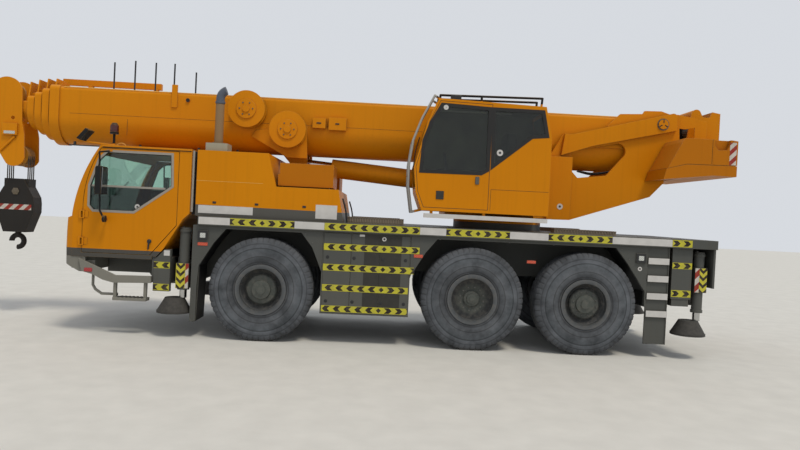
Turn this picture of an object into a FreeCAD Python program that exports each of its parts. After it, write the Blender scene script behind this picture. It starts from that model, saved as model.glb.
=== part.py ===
"""Three-axle all-terrain mobile crane with a five-section telescopic boom, as it stands for the road.

Millimetres. +X points forward, +Y to the crane's left, +Z up. The origin lies on the ground under the
middle of the overall box. Every driving size is a cell of the sheet "sizes"; the pieces are bound to it.
"""
import FreeCAD, Part
import math
import os
import Sketcher
from FreeCAD import Placement, Rotation, Vector

doc = FreeCAD.newDocument("MobileCrane")

# Driving sizes: name, value in mm (or degrees, or a count), what it is.
SIZES = [
    # wheels and axles
    ("axle_1_x", 1200, "front axle"),
    ("axle_2_x", -1830, "second axle"),
    ("axle_3_x", -3480, "third axle"),
    ("tyre_radius", 740, "outside of the tread lugs"),
    ("tyre_width", 440, "over the sidewalls"),
    ("tyre_shoulder", 42, "rounding of the tread edge"),
    ("wheel_y", 1090, "middle of each tyre from the centre plane"),
    ("rim_radius", 318, "bead seat of the rim"),
    ("rim_wall", 16, "rim barrel thickness"),
    ("rim_flange", 362, "flange of the rim over the tyre's bead"),
    ("disc_offset", 70, "wheel disc outboard of the tyre's middle"),
    ("disc_thick", 24, "wheel disc"),
    ("hub_radius", 225, "planetary hub"),
    ("hub_nose", 110, "planetary hub outboard of the disc"),
    ("small_hub_radius", 120, "hub of the undriven second axle"),
    ("spindle_radius", 50, "stub axle inside the hub"),
    ("spindle_length", 90, "stub axle inside the hub"),
    ("running_gap", 0.06, "radial play of pins and shafts"),
    ("seat_gap", 0.3, "play between faces that slide or turn on each other"),
    ("kingpin_y", 930, "steering axis from the centre plane"),
    ("kingpin_radius", 55, "kingpin"),
    ("kingpin_half", 115, "half the height of the kingpin barrel"),
    ("fork_thick", 50, "ear of the axle fork"),
    ("axle_radius", 95, "axle tube"),
    ("diff_radius", 230, "differential housing"),
    ("diff_width", 260, "differential housing"),
    ("strut_y", 330, "suspension strut from the centre plane"),
    ("strut_radius", 60, "suspension strut"),
    # carrier
    ("frame_half", 420, "half the width of the carrier frame"),
    ("frame_low", 1040, "underside of the carrier frame"),
    ("frame_top", 1600, "top of the carrier frame"),
    ("frame_rear_x", -5300, "rear end of the carrier frame"),
    ("frame_front_x", 2150, "front end of the deep carrier frame"),
    ("nose_front_x", 3700, "front end of the low frame under the driver's cab"),
    ("nose_low", 820, "underside of the low frame"),
    ("deck_half", 1290, "half the width of the deck"),
    ("deck_thick", 130, "height of the deck's edge"),
    ("deck_front_x", 2130, "front end of the deck"),
    ("deck_rear_x", -4950, "rear end of the deck's edge"),
    ("tail_rear_x", -5380, "rear end of the deck frame"),
    ("locker_front_x", 355, "side locker"),
    ("locker_rear_x", -919, "side locker"),
    ("locker_low", 435, "underside of the side locker"),
    ("locker_depth", 520, "side locker, inwards from its face"),
    ("locker_face", 1250, "outer face of the lockers and fenders"),
    ("fender_post_front_x", 2200, "front face of the post before the front wheel"),
    ("fender_post_width", 80, "post before the front wheel"),
    ("fender_low", 240, "lower end of the post and the rear flaps"),
    ("arch_top_half", 505, "fender arch at the deck, from the axle"),
    ("arch_shoulder_half", 700, "shoulder of the fender arch, from the axle"),
    ("arch_shoulder_z", 1376, "shoulder of the fender arch"),
    ("arch_foot_half", 900, "foot of the slanted part of the arch, from the axle"),
    ("arch_foot_z", 1040, "foot of the slanted part of the arch"),
    ("fender_thick", 60, "fender plates"),
    ("tread_pitch", 256, "from one ladder tread to the next"),
    ("tread_low_z", 597, "underside of the lowest ladder tread"),
    ("tread_height", 94, "ladder tread"),
    ("lamp_size", 140, "square side lamp"),
    ("lamp_out", 22, "side lamp outside of its plate"),
    ("mudguard_thick", 12, "sheet of the mudguards"),
    ("mudguard_y", 760, "inner edge of the mudguards"),
    ("rear_flap_front_x", -4372, "ladder and flap behind the third axle"),
    ("rear_flap_rear_x", -4691, "ladder and flap behind the third axle"),
    # outriggers
    ("front_jack_x", 2335, "front outrigger jacks"),
    ("rear_jack_x", -5185, "rear outrigger jacks"),
    ("jack_y", 1130, "jack axis from the centre plane when stowed"),
    ("jack_low", 680, "lower end of the jack tube"),
    ("jack_top", 1570, "upper end of the jack tube"),
    ("jack_radius", 75, "outside of the jack tube"),
    ("jack_rod_radius", 52, "jack rod"),
    ("jack_stroke", 550, "travel of the jack rod"),
    ("jack_rod_low", 560, "lower end of the jack rod when stowed"),
    ("pad_radius", 245, "foot pad"),
    ("pad_low", 345, "underside of the stowed foot pad"),
    ("pad_shift", 115, "foot pad forward of the jack axis"),
    ("pad_rim", 30, "edge of the foot pad"),
    ("beam_height", 300, "outrigger beam"),
    ("beam_width", 190, "outrigger beam"),
    ("beam_low", 800, "underside of the outrigger beam"),
    ("beam_wall", 25, "wall of the outrigger box round its beams"),
    ("beam_gap", 6, "play of the beam in its box"),
    ("beam_pitch", 300, "from the left beam to the right beam beside it"),
    ("box_mouth_y", 1010, "mouth of an outrigger box, on its jack's side"),
    ("box_long_y", 1230, "closed end of the right beams' boxes, on the left"),
    ("beam_tail_gap", 40, "from a stowed beam's inner end to its box's closed end"),
    ("jack_bracket", 40, "bracket plate from a beam to a jack beside it"),
    ("wrap_half", 90, "half the width of the plate wrapped round a jack"),
    ("wrap_height", 360, "plate wrapped round a jack"),
    ("housing_depth", 90, "housing over the closed end of a right beam's box"),
    ("tail_board_low", 1050, "lower edge of the board across the tail"),
    # driver's cab
    ("cab_half", 1250, "half the width of the driver's cab"),
    ("cab_wall", 50, "thickness of its walls and doors"),
    ("cab_roof_z", 2690, "roof"),
    ("cab_rear_x", 2262, "rear wall"),
    ("cab_roof_front_x", 3540, "front edge of the roof"),
    ("cab_nose_x", 3905, "foot of the windscreen"),
    ("cab_nose_z", 1665, "foot of the windscreen"),
    ("cab_front_x", 4012, "front of the nose panel"),
    ("cab_front_z", 1215, "where the nose panel draws in at its foot"),
    ("cab_floor_z", 1095, "underside"),
    ("cab_chin_x", 3990, "front end of the underside"),
    ("cab_heel_x", 2740, "rear end of the underside"),
    ("cab_arch_z", 1775, "where the arch meets the rear wall"),
    ("door_front_x", 3752, "front edge of the door"),
    ("door_knee_z", 1790, "where the door's front edge starts to lean"),
    ("door_top_front_x", 3528, "front end of the door's top edge"),
    ("door_top_z", 2640, "top edge of the door"),
    ("door_rear_x", 2440, "rear edge of the door"),
    ("door_rear_z", 1600, "lower end of the door's rear edge"),
    ("door_low_z", 1160, "lower edge of the door"),
    ("door_heel_x", 2800, "rear end of the door's lower edge"),
    ("door_gap", 7, "gap round the door"),
    ("hinge_out", 14, "door hinge outside of the cab's side"),
    ("hinge_radius", 13, "door hinge barrel"),
    ("hinge_pin_radius", 6, "door hinge pin"),
    ("hinge_height", 90, "door hinge barrel"),
    ("hinge_low_z", 1270, "lower door hinge"),
    ("hinge_high_z", 1650, "upper door hinge"),
    ("hinge_inset", 16, "door hinge axis behind the door's front edge"),
    ("screen_bow", 2250, "radius of the windscreen seen from the side"),
    ("door_bow", 1650, "radius of the door's leaning front edge"),
    ("nose_corner_x", 3890, "where the cab's rounded front corners start"),
    ("mirror_y", 1400, "mirror bars from the centre plane"),
    ("mirror_x", 3478, "mirror bars"),
    ("mirror_low", 1990, "underside of the tall mirrors"),
    ("mirror_top", 2370, "top of the tall mirrors"),
    ("beacon_x", 3500, "beacon on the cab's roof"),
    ("beacon_y", 900, "beacon on the cab's roof"),
    ("beacon_radius", 62, "beacon"),
    ("seat_top", 1600, "top of the seat cushions"),
    ("cushion_thick", 120, "seat cushions"),
    ("bumper_low", 882, "underside of the bumper"),
    ("step_low", 496, "underside of the cab step"),
    # engine hood
    ("hood_half", 1220, "half the width of the hood"),
    ("hood_front_x", 2190, "front face"),
    ("hood_high_rear_x", 1185, "rear end of the high part"),
    ("hood_top_z", 2690, "top of the high part"),
    ("hood_step_x", 1060, "foot of the slanted step"),
    ("hood_low_top_z", 2220, "top of the low part"),
    ("hood_low_rear_x", 165, "rear end of the low part's top"),
    ("hood_rear_x", 75, "rear end of the hood at the deck"),
    ("hood_wall", 30, "hood wall"),
    ("slab_front_x", 1045, "ballast slabs on the low hood"),
    ("slab_rear_x", 250, "ballast slabs on the low hood"),
    ("slab_thick", 168, "one ballast slab"),
    ("slab_inner_y", 360, "inner edge of the slabs"),
    ("slab_outer_y", 1160, "outer edge of the slabs"),
    ("slab_plinth", 20, "rail under the slabs"),
    ("stack_x", 1980, "exhaust stack"),
    ("stack_y", 900, "exhaust stack"),
    ("stack_radius", 62, "exhaust stack"),
    ("stack_top", 3480, "foot of the stack's bent end"),
    ("stack_bend", 130, "bend radius of the stack's end"),
    # superstructure
    ("slew_x", -2350, "slewing axis"),
    ("ring_radius", 700, "slewing ring"),
    ("ring_bore", 560, "slewing ring"),
    ("ring_lower", 250, "height of the ring's lower half on the frame"),
    ("ring_upper", 105, "height of the ring's upper half"),
    ("plate_inner_y", 440, "inner face of the side plates"),
    ("plate_thick", 60, "side plates"),
    ("pivot_x", -4780, "boom pivot"),
    ("pivot_z", 3510, "boom pivot"),
    ("pivot_radius", 60, "boom pivot pin"),
    ("base_front_x", -1450, "front end of the superstructure's floor"),
    ("floor_thick", 60, "floor of the superstructure"),
    ("tail_half", 1200, "half the width of the tail ballast"),
    ("tail_low", 2700, "underside of the tail ballast"),
    ("tail_lower", 165, "height of the lower ballast layer"),
    ("tail_upper", 368, "height of the upper ballast layer"),
    ("tail_front_x", -4630, "front end of the tail ballast"),
    ("tail_end_x", -5640, "rear end of the tail ballast"),
    ("winch_x", -5560, "winch drum axis"),
    ("winch_z", 3520, "winch drum axis"),
    ("winch_radius", 170, "winch drum flange"),
    ("winch_half", 260, "half the length of the winch drum"),
    ("arm_out", 60, "upper arms outside of the side plates"),
    ("panel_top", 2930, "top of the front panel"),
    ("cover_thick", 20, "side covers of the winch"),
    ("roller_x", -5425, "rope roller over the winch"),
    ("roller_z", 3750, "rope roller over the winch"),
    ("roller_radius", 70, "rope roller over the winch"),
    ("seam", 8, "seam between the ballast layers"),
    ("seam_depth", 15, "depth of that seam"),
    # crane cab
    ("crane_cab_in", 500, "inner side of the crane cab"),
    ("crane_cab_out", 1270, "outer side of the crane cab"),
    ("crane_cab_wall", 40, "thickness of its walls"),
    ("crane_cab_low", 1985, "underside of the crane cab"),
    ("crane_cab_top_front_x", -1215, "front end of its roof"),
    ("crane_cab_top_z", 3605, "front end of its roof"),
    ("crane_cab_mid_x", -900, "foremost point of its front"),
    ("crane_cab_mid_z", 2600, "foremost point of its front"),
    ("crane_cab_foot_x", -1035, "lower front edge"),
    ("crane_cab_rear_x", -2870, "rear side"),
    ("crane_cab_rear_top_x", -2770, "rear end of its roof"),
    ("crane_cab_rear_top_z", 3560, "rear end of its roof"),
    ("crane_cab_knee_z", 3271, "where its front draws back to the roof"),
    ("crane_cab_shin_z", 2240, "where its front draws back to the foot"),
    ("rail_radius", 17, "guard rails round the crane cab"),
    ("rail_out", 62, "guard rails before the crane cab's front"),
    ("step_board_low", 1885, "step board under the crane cab"),
    # boom
    ("boom_half", 380, "half the width of the base section"),
    ("boom_top", 3630, "top of the base section"),
    ("boom_low", 2770, "underside of the base section"),
    ("boom_corner", 60, "corner radius of the base section's top"),
    ("corner_step", 8, "corner radius smaller than on the section round it"),
    ("collar_plate", 20, "upright plate on the front end of a section"),
    ("ear_thick", 50, "ears of the boom's foot"),
    ("ear_gap", 20, "from the ears to the side plates"),
    ("bracket_thick", 30, "side brackets over the luffing cylinder's eye"),
    ("reel_radius", 280, "hose reels on the boom's side"),
    ("rail_y", 450, "square bar over the boom's right edge"),
    ("rod_radius_top", 12, "rods on the boom's top"),
    ("boom_wall", 12, "wall of every section"),
    ("side_step", 43, "each section narrower than the one round it, per side"),
    ("top_step", 58, "each section lower than the one round it, at the top"),
    ("low_step", 76, "each section higher than the one round it, at the bottom"),
    ("boom_rear_x", -4700, "rear end of the base section's tube"),
    ("boom_front_x", 4702, "front end of the base section"),
    ("collar_length", 145, "collar at the front end of the base section"),
    ("collar_out", 22, "collar outside of its section"),
    ("collar_pitch", 133, "stretch of each section that shows in front of the collar round it"),
    ("inner_rear_x", -4250, "rear end of the first inner section"),
    ("inner_pitch", 90, "each inner section starts further forward"),
    ("head_front_x", 5820, "front end of the boom head"),
    ("head_plate_thick", 26, "boom head plates"),
    ("jib_pin_front_x", 5700, "front pin hole for a jib"),
    ("jib_pin_rear_x", 5330, "rear pin hole for a jib"),
    ("jib_pin_z", 3120, "pin holes for a jib"),
    ("jib_pin_radius", 28, "pin holes for a jib"),
    ("sheave_x", 5300, "lower head sheaves"),
    ("sheave_z", 2545, "lower head sheaves"),
    ("sheave_radius", 165, "lower head sheaves"),
    ("sheave_groove", 15, "depth of a sheave's rope groove"),
    ("low_guard", 175, "round lower end of the head plates"),
    ("top_sheave_x", 5440, "upper head sheave"),
    ("top_sheave_z", 3513, "upper head sheave"),
    ("top_sheave_radius", 175, "upper head sheave"),
    ("top_guard", 240, "round upper end of the head plates"),
    ("sheave_width", 44, "one sheave"),
    ("sheave_pitch", 56, "from one sheave to the next"),
    ("sheave_pin", 40, "sheave pin"),
    # luffing cylinder
    ("foot_pin_x", -3700, "foot pin of the luffing cylinder"),
    ("foot_pin_z", 2280, "foot pin of the luffing cylinder"),
    ("eye_x", 880, "eye of the luffing cylinder's rod"),
    ("eye_z", 2640, "eye of the luffing cylinder's rod"),
    ("barrel_radius", 148, "luffing cylinder barrel"),
    ("gland_gap", 514, "from the gland's face to the rod's eye when shut"),
    ("rod_radius", 95, "luffing cylinder rod"),
    ("rod_tail", 1500, "from the foot pin to the rod's inner end"),
    ("eye_radius", 120, "eye of the rod and foot of the barrel"),
    ("eye_half", 80, "half the width of the eye and the foot"),
    ("foot_pin_radius", 55, "foot pin"),
    ("lug_gap", 12, "play between the rod and the boom's lugs beside it"),
    ("lug_thick", 50, "boom's lugs beside the rod's eye"),
    # hook
    ("rope_radius", 9, "hoist rope"),
    ("hook_top", 2180, "top of the hook block"),
    ("hook_low", 1337, "lower end of the hook block's cheeks"),
    ("hook_half", 290, "half the width of the hook block"),
    ("hook_waist_low", 1657, "lower end of the hook block's widest part"),
    ("hook_waist_top", 1800, "upper end of the hook block's widest part"),
    ("hook_shoulder_z", 2003, "shoulder of the hook block"),
    ("hook_shoulder_half", 216, "shoulder of the hook block"),
    ("hook_bow", 95, "middle of the hook's bow"),
    ("hook_bow_thick", 40, "radius of the hook's bar"),
    ("hook_bow_z", 1190, "middle of the hook's bow"),
    ("shank_radius", 45, "hook's shank"),
    ("hook_thick", 250, "thickness of the hook block"),
]


class Size:
    """A length that knows its value and the formula that gives it from the sheet."""

    def __init__(self, value, text):
        self.value = value
        self.text = text

    def _join(self, other, sign, value):
        text = other.text if isinstance(other, Size) else repr(other)
        return Size(value, "(%s %s %s)" % (self.text, sign, text))

    def __add__(self, other):
        return self._join(other, "+", self.value + number(other))

    def __sub__(self, other):
        return self._join(other, "-", self.value - number(other))

    def __mul__(self, other):
        return self._join(other, "*", self.value * number(other))

    def __truediv__(self, other):
        return self._join(other, "/", self.value / number(other))

    def across(self, other):
        """The hypotenuse of this length and the other."""
        text = "sqrt(%s ^ 2 + %s ^ 2)" % (self.text, other.text)
        return Size(math.hypot(self.value, other.value), text)

    def __radd__(self, other):
        return Size(float(other), repr(other)) + self

    def __rsub__(self, other):
        return Size(float(other), repr(other)) - self

    def __rmul__(self, other):
        return self * other

    def __neg__(self):
        return Size(-self.value, "(0 - %s)" % self.text)


def number(size):
    """The plain value of a Size or a number."""
    return size.value if isinstance(size, Size) else float(size)


class Names:
    """The sheet's cells by name."""


sheet = doc.addObject("Spreadsheet::Sheet", "sizes")
S = Names()
for row, (name, value, meaning) in enumerate(SIZES, 1):
    sheet.set("A%d" % row, name)
    sheet.set("B%d" % row, str(value))
    sheet.set("C%d" % row, meaning)
    sheet.setAlias("B%d" % row, name)
    setattr(S, name, Size(float(value), "sizes." + name))
doc.recompute()

# Heights that follow from the sheet
S.ring_split = S.frame_top + S.ring_lower
S.super_low = S.ring_split + S.ring_upper
S.tail_split = S.tail_low + S.tail_lower
S.tail_top = S.tail_split + S.tail_upper

NODES = []
PLANES = {
    "XY": Rotation(),
    "XZ": Rotation(Vector(1, 0, 0), 90),
    "YZ": Rotation(Vector(1, 1, 1), 120),
}
AXES = {
    "X": Rotation(Vector(0, 1, 0), 90),
    "Y": Rotation(Vector(1, 0, 0), -90),
    "Z": Rotation(),
}


def bind(thing, prop, size):
    """Tie one property to the sheet, or set it where it is a plain number."""
    if isinstance(size, Size):
        thing.setExpression(prop, size.text)
    elif prop.startswith("Placement.Base."):
        base = thing.Placement.Base
        setattr(base, prop[-1], float(size))
        thing.Placement = Placement(base, thing.Placement.Rotation)
    else:
        setattr(thing, prop, float(size))


def place(thing, x=0, y=0, z=0, turn=None):
    """Put a piece at x, y, z, after an optional turn."""
    if turn is not None:
        thing.Placement = Placement(Vector(), turn)
    for letter, size in zip("xyz", (x, y, z)):
        bind(thing, "Placement.Base." + letter, size)
    return thing


def box(name, x, y, z):
    """A block from x[0], y[0], z[0] to x[1], y[1], z[1]."""
    block = doc.addObject("Part::Box", name)
    bind(block, "Length", x[1] - x[0])
    bind(block, "Width", y[1] - y[0])
    bind(block, "Height", z[1] - z[0])
    return place(block, x[0], y[0], z[0])


def cylinder(name, axis, at, radius, length):
    """A cylinder from the point at, along +X, +Y or +Z."""
    rod = doc.addObject("Part::Cylinder", name)
    bind(rod, "Radius", radius)
    bind(rod, "Height", length)
    return place(rod, *at, turn=AXES[axis])


def cone(name, axis, at, radius_1, radius_2, length):
    """A cone frustum from the point at, along +X, +Y or +Z."""
    frustum = doc.addObject("Part::Cone", name)
    bind(frustum, "Radius1", radius_1)
    bind(frustum, "Radius2", radius_2)
    bind(frustum, "Height", length)
    return place(frustum, *at, turn=AXES[axis])


def fuse(name, pieces):
    """One solid from touching pieces, or one object of several solids."""
    joined = doc.addObject("Part::MultiFuse", name)
    joined.Shapes = pieces
    joined.Refine = True
    return joined


def cut(name, base, *tools):
    """The base without the tools."""
    for index, tool in enumerate(tools, 1):
        rest = doc.addObject("Part::Cut", "%s_%d" % (name, index))
        rest.Base = base
        rest.Tool = tool
        rest.Refine = True
        base = rest
    return base


def mirrored(name, piece):
    """The piece mirrored to the crane's other side."""
    twin = doc.addObject("Part::Mirroring", name)
    twin.Source = piece
    twin.Base = Vector(0, 0, 0)
    twin.Normal = Vector(0, 1, 0)
    return twin


def draw(sketch, outline):
    """Draw one closed outline of (u, v) or (u, v, radius of the arc to the next point), counter-clockwise."""
    count = len(outline)
    first = sketch.GeometryCount
    points = [Vector(number(point[0]), number(point[1]), 0) for point in outline]
    for index, point in enumerate(outline):
        start = points[index]
        end = points[(index + 1) % count]
        if len(point) == 2:
            sketch.addGeometry(Part.LineSegment(start, end), False)
            continue
        radius = abs(number(point[2]))
        chord = end - start
        half = chord.Length / 2
        rise = math.sqrt(max(radius * radius - half * half, 0.0))
        side = Vector(-chord.y, chord.x, 0).normalize()
        outward = 1 if number(point[2]) > 0 else -1
        middle = (start + end) * 0.5 + side * rise * outward
        bulge = middle - side * radius * outward
        sketch.addGeometry(Part.Arc(start, bulge, end), False)
    for index, point in enumerate(outline):
        edge = first + index
        following = first + (index + 1) % count
        start_end = ends(sketch, edge, points[index])
        next_end = ends(sketch, following, points[(index + 1) % count])
        other = 3 - start_end
        sketch.addConstraint(Sketcher.Constraint("Coincident", edge, other, following, next_end))
        for kind, size in (("DistanceX", point[0]), ("DistanceY", point[1])):
            number_of = sketch.addConstraint(
                Sketcher.Constraint(kind, -1, 1, edge, start_end, number(size)))
            if isinstance(size, Size):
                sketch.setExpression("Constraints[%d]" % number_of, size.text)
        if len(point) == 3:
            radius = point[2] if number(point[2]) > 0 else -point[2]
            number_of = sketch.addConstraint(Sketcher.Constraint("Radius", edge, number(radius)))
            if isinstance(radius, Size):
                sketch.setExpression("Constraints[%d]" % number_of, radius.text)


def ends(sketch, edge, point):
    """Which end of an edge lies at the point: 1 for its start, 2 for its end."""
    if (sketch.getPoint(edge, 1) - point).Length < (sketch.getPoint(edge, 2) - point).Length:
        return 1
    return 2


def profile(name, plane, span, *outlines):
    """Outlines drawn on a plane and extruded across it, from span[0] to span[1]; inner outlines are holes."""
    sketch = doc.addObject("Sketcher::SketchObject", name + "_sketch")
    for outline in outlines:
        draw(sketch, outline)
    normal = {"XY": (0, 0, 1), "XZ": (0, 1, 0), "YZ": (1, 0, 0)}[plane]
    across = {"XY": "z", "XZ": "y", "YZ": "x"}[plane]
    sketch.Placement = Placement(Vector(), PLANES[plane])
    bind(sketch, "Placement.Base." + across, span[0])
    solid = doc.addObject("Part::Extrusion", name)
    solid.Base = sketch
    solid.DirMode = "Custom"
    solid.Dir = Vector(*normal)
    solid.Solid = True
    bind(solid, "LengthFwd", span[1] - span[0])
    return solid


def revolved(name, outline, x, y, z, side):
    """A body turned about the wheel axis: outline in (radius, outboard), side +1 for the left wheel."""
    body = doc.addObject("PartDesign::Body", name)
    sketch = body.newObject("Sketcher::SketchObject", name + "_sketch")
    plane = [part for part in body.Origin.OriginFeatures if part.Role == "XY_Plane"][0]
    sketch.AttachmentSupport = [(plane, "")]
    sketch.MapMode = "FlatFace"
    draw(sketch, outline)
    turned = body.newObject("PartDesign::Revolution", name + "_turned")
    turned.Profile = sketch
    turned.ReferenceAxis = (sketch, ["V_Axis"])
    turned.Angle = 360
    body.Tip = turned
    return place(body, x, y, z, turn=Rotation(Vector(0, 0, 1), 0 if side > 0 else 180))


def pipe(name, points, radius):
    """A round bar along straight runs between points, with a ball at each bend."""
    pieces = []
    for run, (start, end) in enumerate(zip(points, points[1:]), 1):
        reach = [b - a if isinstance(b, Size) or isinstance(a, Size) else Size(float(b - a), repr(float(b - a)))
                 for a, b in zip(start, end)]
        length = reach[0].across(reach[1]).across(reach[2])
        bar = doc.addObject("Part::Cylinder", "%s_run_%d" % (name, run))
        bind(bar, "Radius", radius)
        bind(bar, "Height", length)
        heading = Rotation(Vector(0, 0, 1), Vector(*[number(step) for step in reach]))
        pieces.append(place(bar, *start, turn=heading))
    for bend, point in enumerate(points[1:-1], 1):
        ball = doc.addObject("Part::Sphere", "%s_bend_%d" % (name, bend))
        bind(ball, "Radius", radius)
        pieces.append(place(ball, *point))
    return fuse(name, pieces) if len(pieces) > 1 else pieces[0]


def node(piece, label):
    """Name a finished sub-part; its label names its file."""
    piece.Label = label
    NODES.append(piece)
    return piece


SIDES = (("left", 1), ("right", -1))
# Axles: name, place, driven (big planetary hubs) or not.
AXLES = (("front", S.axle_1_x, True), ("mid", S.axle_2_x, False), ("rear", S.axle_3_x, True))


def wheel(label, x, side, driven):
    """Tyre, rim, disc and hub of one wheel; the stub axle runs in the hub's bore."""
    half = S.tyre_width / 2
    tread = S.tyre_radius
    bead = S.rim_radius
    y = S.wheel_y * side
    z = S.tyre_radius
    tyre = revolved(label + "_tyre_body", [
        (bead, half * -0.6), (bead + 60, -half + 12), (tread - 190, -half), (tread - S.tyre_shoulder, -half + 14),
        (tread, -half + S.tyre_shoulder + 14), (tread, half - S.tyre_shoulder - 14),
        (tread - S.tyre_shoulder, half - 14), (tread - 190, half), (bead + 60, half - 12), (bead, half * 0.6),
    ], x, y, z, side)
    node(tyre, label + "_tyre")
    barrel = S.rim_radius - S.rim_wall
    hub = S.hub_radius if driven else S.small_hub_radius
    nose = S.hub_nose if driven else S.hub_nose * 0.6
    bore = S.spindle_radius + S.running_gap
    inboard = S.disc_offset - 60
    disc_out = S.disc_offset + S.disc_thick
    rim = revolved(label + "_rim_body", [
        (bore, inboard), (hub * 0.62, inboard), (hub * 0.62, S.disc_offset), (barrel, S.disc_offset),
        (barrel, -half + 2), (S.rim_flange, -half + 2), (S.rim_flange, -half + 16), (bead, -half + 16),
        (bead, half - 16), (S.rim_flange, half - 16), (S.rim_flange, half - 2), (barrel, half - 2),
        (barrel, disc_out + 30), (hub + 20, disc_out), (hub, disc_out), (hub, disc_out + nose * 0.3),
        (hub * 0.9, disc_out + nose * 0.45), (hub * 0.62, disc_out + nose * 0.5), (hub * 0.58, disc_out + nose * 0.8),
        (hub * 0.28, disc_out + nose * 0.85), (hub * 0.28, disc_out + nose), (0, disc_out + nose),
        (0, S.disc_offset + S.spindle_length * 0.4), (bore, S.disc_offset + S.spindle_length * 0.4),
    ], x, y, z, side)
    node(rim, label + "_rim")


def knuckle(label, x, side):
    """Kingpin barrel and stub axle that carry one wheel; they swing in the axle's fork."""
    z = S.tyre_radius
    inboard = S.wheel_y + S.disc_offset - 60 - S.seat_gap
    reach = S.spindle_length * 0.4 + 60 - 10
    barrel = cylinder(label + "_barrel", "Z", (x, S.kingpin_y * side, z - S.kingpin_half),
                      S.kingpin_radius, S.kingpin_half * 2)
    if side > 0:
        arm = cylinder(label + "_arm", "Y", (x, S.kingpin_y, z), S.kingpin_radius * 1.5, inboard - S.kingpin_y)
        stub = cylinder(label + "_stub", "Y", (x, inboard, z), S.spindle_radius, reach)
    else:
        arm = cylinder(label + "_arm", "Y", (x, -inboard, z), S.kingpin_radius * 1.5, inboard - S.kingpin_y)
        stub = cylinder(label + "_stub", "Y", (x, -inboard - reach, z), S.spindle_radius, reach)
    node(fuse(label + "_body", [barrel, arm, stub]), label)


def axle(label, x):
    """Axle tube with its differential, a fork at each end and two suspension struts."""
    z = S.tyre_radius
    back = S.kingpin_y - S.kingpin_radius - 15
    ear_low = S.kingpin_half + S.seat_gap
    ear_top = ear_low + S.fork_thick
    pieces = [
        cylinder(label + "_tube", "Y", (x, -back, z), S.axle_radius, back * 2),
        cylinder(label + "_case", "Y", (x, S.diff_width / -2, z), S.diff_radius, S.diff_width),
    ]
    for name, side in SIDES:
        outer = S.kingpin_y + S.kingpin_radius
        lo, hi = (back - 70, outer) if side > 0 else (-outer, 70 - back)
        web = (back - 70, back) if side > 0 else (-back, 70 - back)
        pieces.append(box("%s_%s_web" % (label, name), (x - 60, x + 60), web, (z - ear_top, z + ear_top)))
        pieces.append(box("%s_%s_top" % (label, name), (x - 60, x + 60), (lo, hi), (z + ear_low, z + ear_top)))
        pieces.append(box("%s_%s_low" % (label, name), (x - 60, x + 60), (lo, hi), (z - ear_top, z - ear_low)))
        pieces.append(cylinder("%s_%s_strut" % (label, name), "Z", (x, S.strut_y * side, z),
                               S.strut_radius, S.frame_low - z))
    return fuse(label + "_body", pieces)


node(fuse("axles_body", [axle(name + "_axle", x) for name, x, driven in AXLES]), "axle_beams")
for axle_name, axle_x, driven in AXLES:
    for side_name, side in SIDES:
        wheel("wheel_%s_%s" % (axle_name, side_name), axle_x, side, driven)
        knuckle("knuckle_%s_%s" % (axle_name, side_name), axle_x, side)


def span(side, inner, outer):
    """A stretch of y given for the left side, mirrored for the right; inner may lie past the middle."""
    return (inner, outer) if side > 0 else (-outer, -inner)


# Outriggers: name, jack's place, beam's place, side, inner end of the box past the middle. Both jacks of a pair
# stand in line; the right beam lies forward of the left one and carries its jack on a bracket.
OUTRIGGERS = (
    ("front_left", S.front_jack_x, S.front_jack_x, 1, S.box_mouth_y),
    ("front_right", S.front_jack_x, S.front_jack_x + S.beam_pitch, -1, S.box_long_y),
    ("rear_left", S.rear_jack_x, S.rear_jack_x, 1, S.box_mouth_y),
    ("rear_right", S.rear_jack_x, S.rear_jack_x + S.beam_pitch, -1, S.box_long_y),
)

# Carrier frame: a deep box, a low nose under the driver's cab and the outrigger boxes
deck_low = S.frame_top + 20
deck_top = deck_low + S.deck_thick
whole = [
    box("frame_main", (S.frame_rear_x, S.frame_front_x), (-S.frame_half, S.frame_half), (S.frame_low, S.frame_top)),
    box("frame_nose", (S.frame_front_x - 200, S.nose_front_x), (-S.frame_half, S.frame_half),
        (S.nose_low, S.cab_floor_z)),
    box("frame_drop", (S.frame_front_x - 200, S.frame_front_x), (-S.frame_half, S.frame_half),
        (S.nose_low, S.frame_top)),
    cylinder("ring_foot", "Z", (S.slew_x, 0, S.frame_top), S.ring_radius, S.ring_split - S.frame_top),
]
channels = [cylinder("ring_foot_bore", "Z", (S.slew_x, 0, S.frame_top - 1), S.ring_bore,
                     S.ring_split - S.frame_top + 2)]
reach = S.beam_width / 2 + S.beam_gap
beam_top = S.beam_low + S.beam_height
for name, jack_x, beam_x, side, far_y in OUTRIGGERS:
    whole.append(box(name + "_box", (beam_x - reach - S.beam_wall, beam_x + reach + S.beam_wall),
                     span(side, -far_y, S.box_mouth_y),
                     (S.beam_low - S.beam_gap - S.beam_wall, beam_top + S.beam_gap + S.beam_wall)))
    channels.append(box(name + "_channel", (beam_x - reach, beam_x + reach),
                        span(side, S.beam_wall - far_y, S.box_mouth_y + 1),
                        (S.beam_low - S.seat_gap, beam_top + S.beam_gap)))
# Housings over the closed ends of the right beams' boxes, on the left side
housing_y = (S.box_long_y + 10 - S.housing_depth, S.box_long_y + 10)
front_box_x = S.front_jack_x + S.beam_pitch
rear_box_x = S.rear_jack_x + S.beam_pitch
whole.append(profile("front_housing", "XZ", housing_y, [
    (front_box_x - 130, S.beam_low - 150), (front_box_x + 100, S.beam_low - 150), (front_box_x + 100, beam_top - 15),
    (front_box_x - 50, beam_top + 150), (front_box_x - 130, beam_top + 150),
]))
whole.append(box("rear_housing", (rear_box_x - 150, rear_box_x + 145), housing_y, (S.beam_low + 75, deck_low)))
node(cut("frame_body", fuse("frame_whole", whole), *channels), "chassis_frame")

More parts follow.
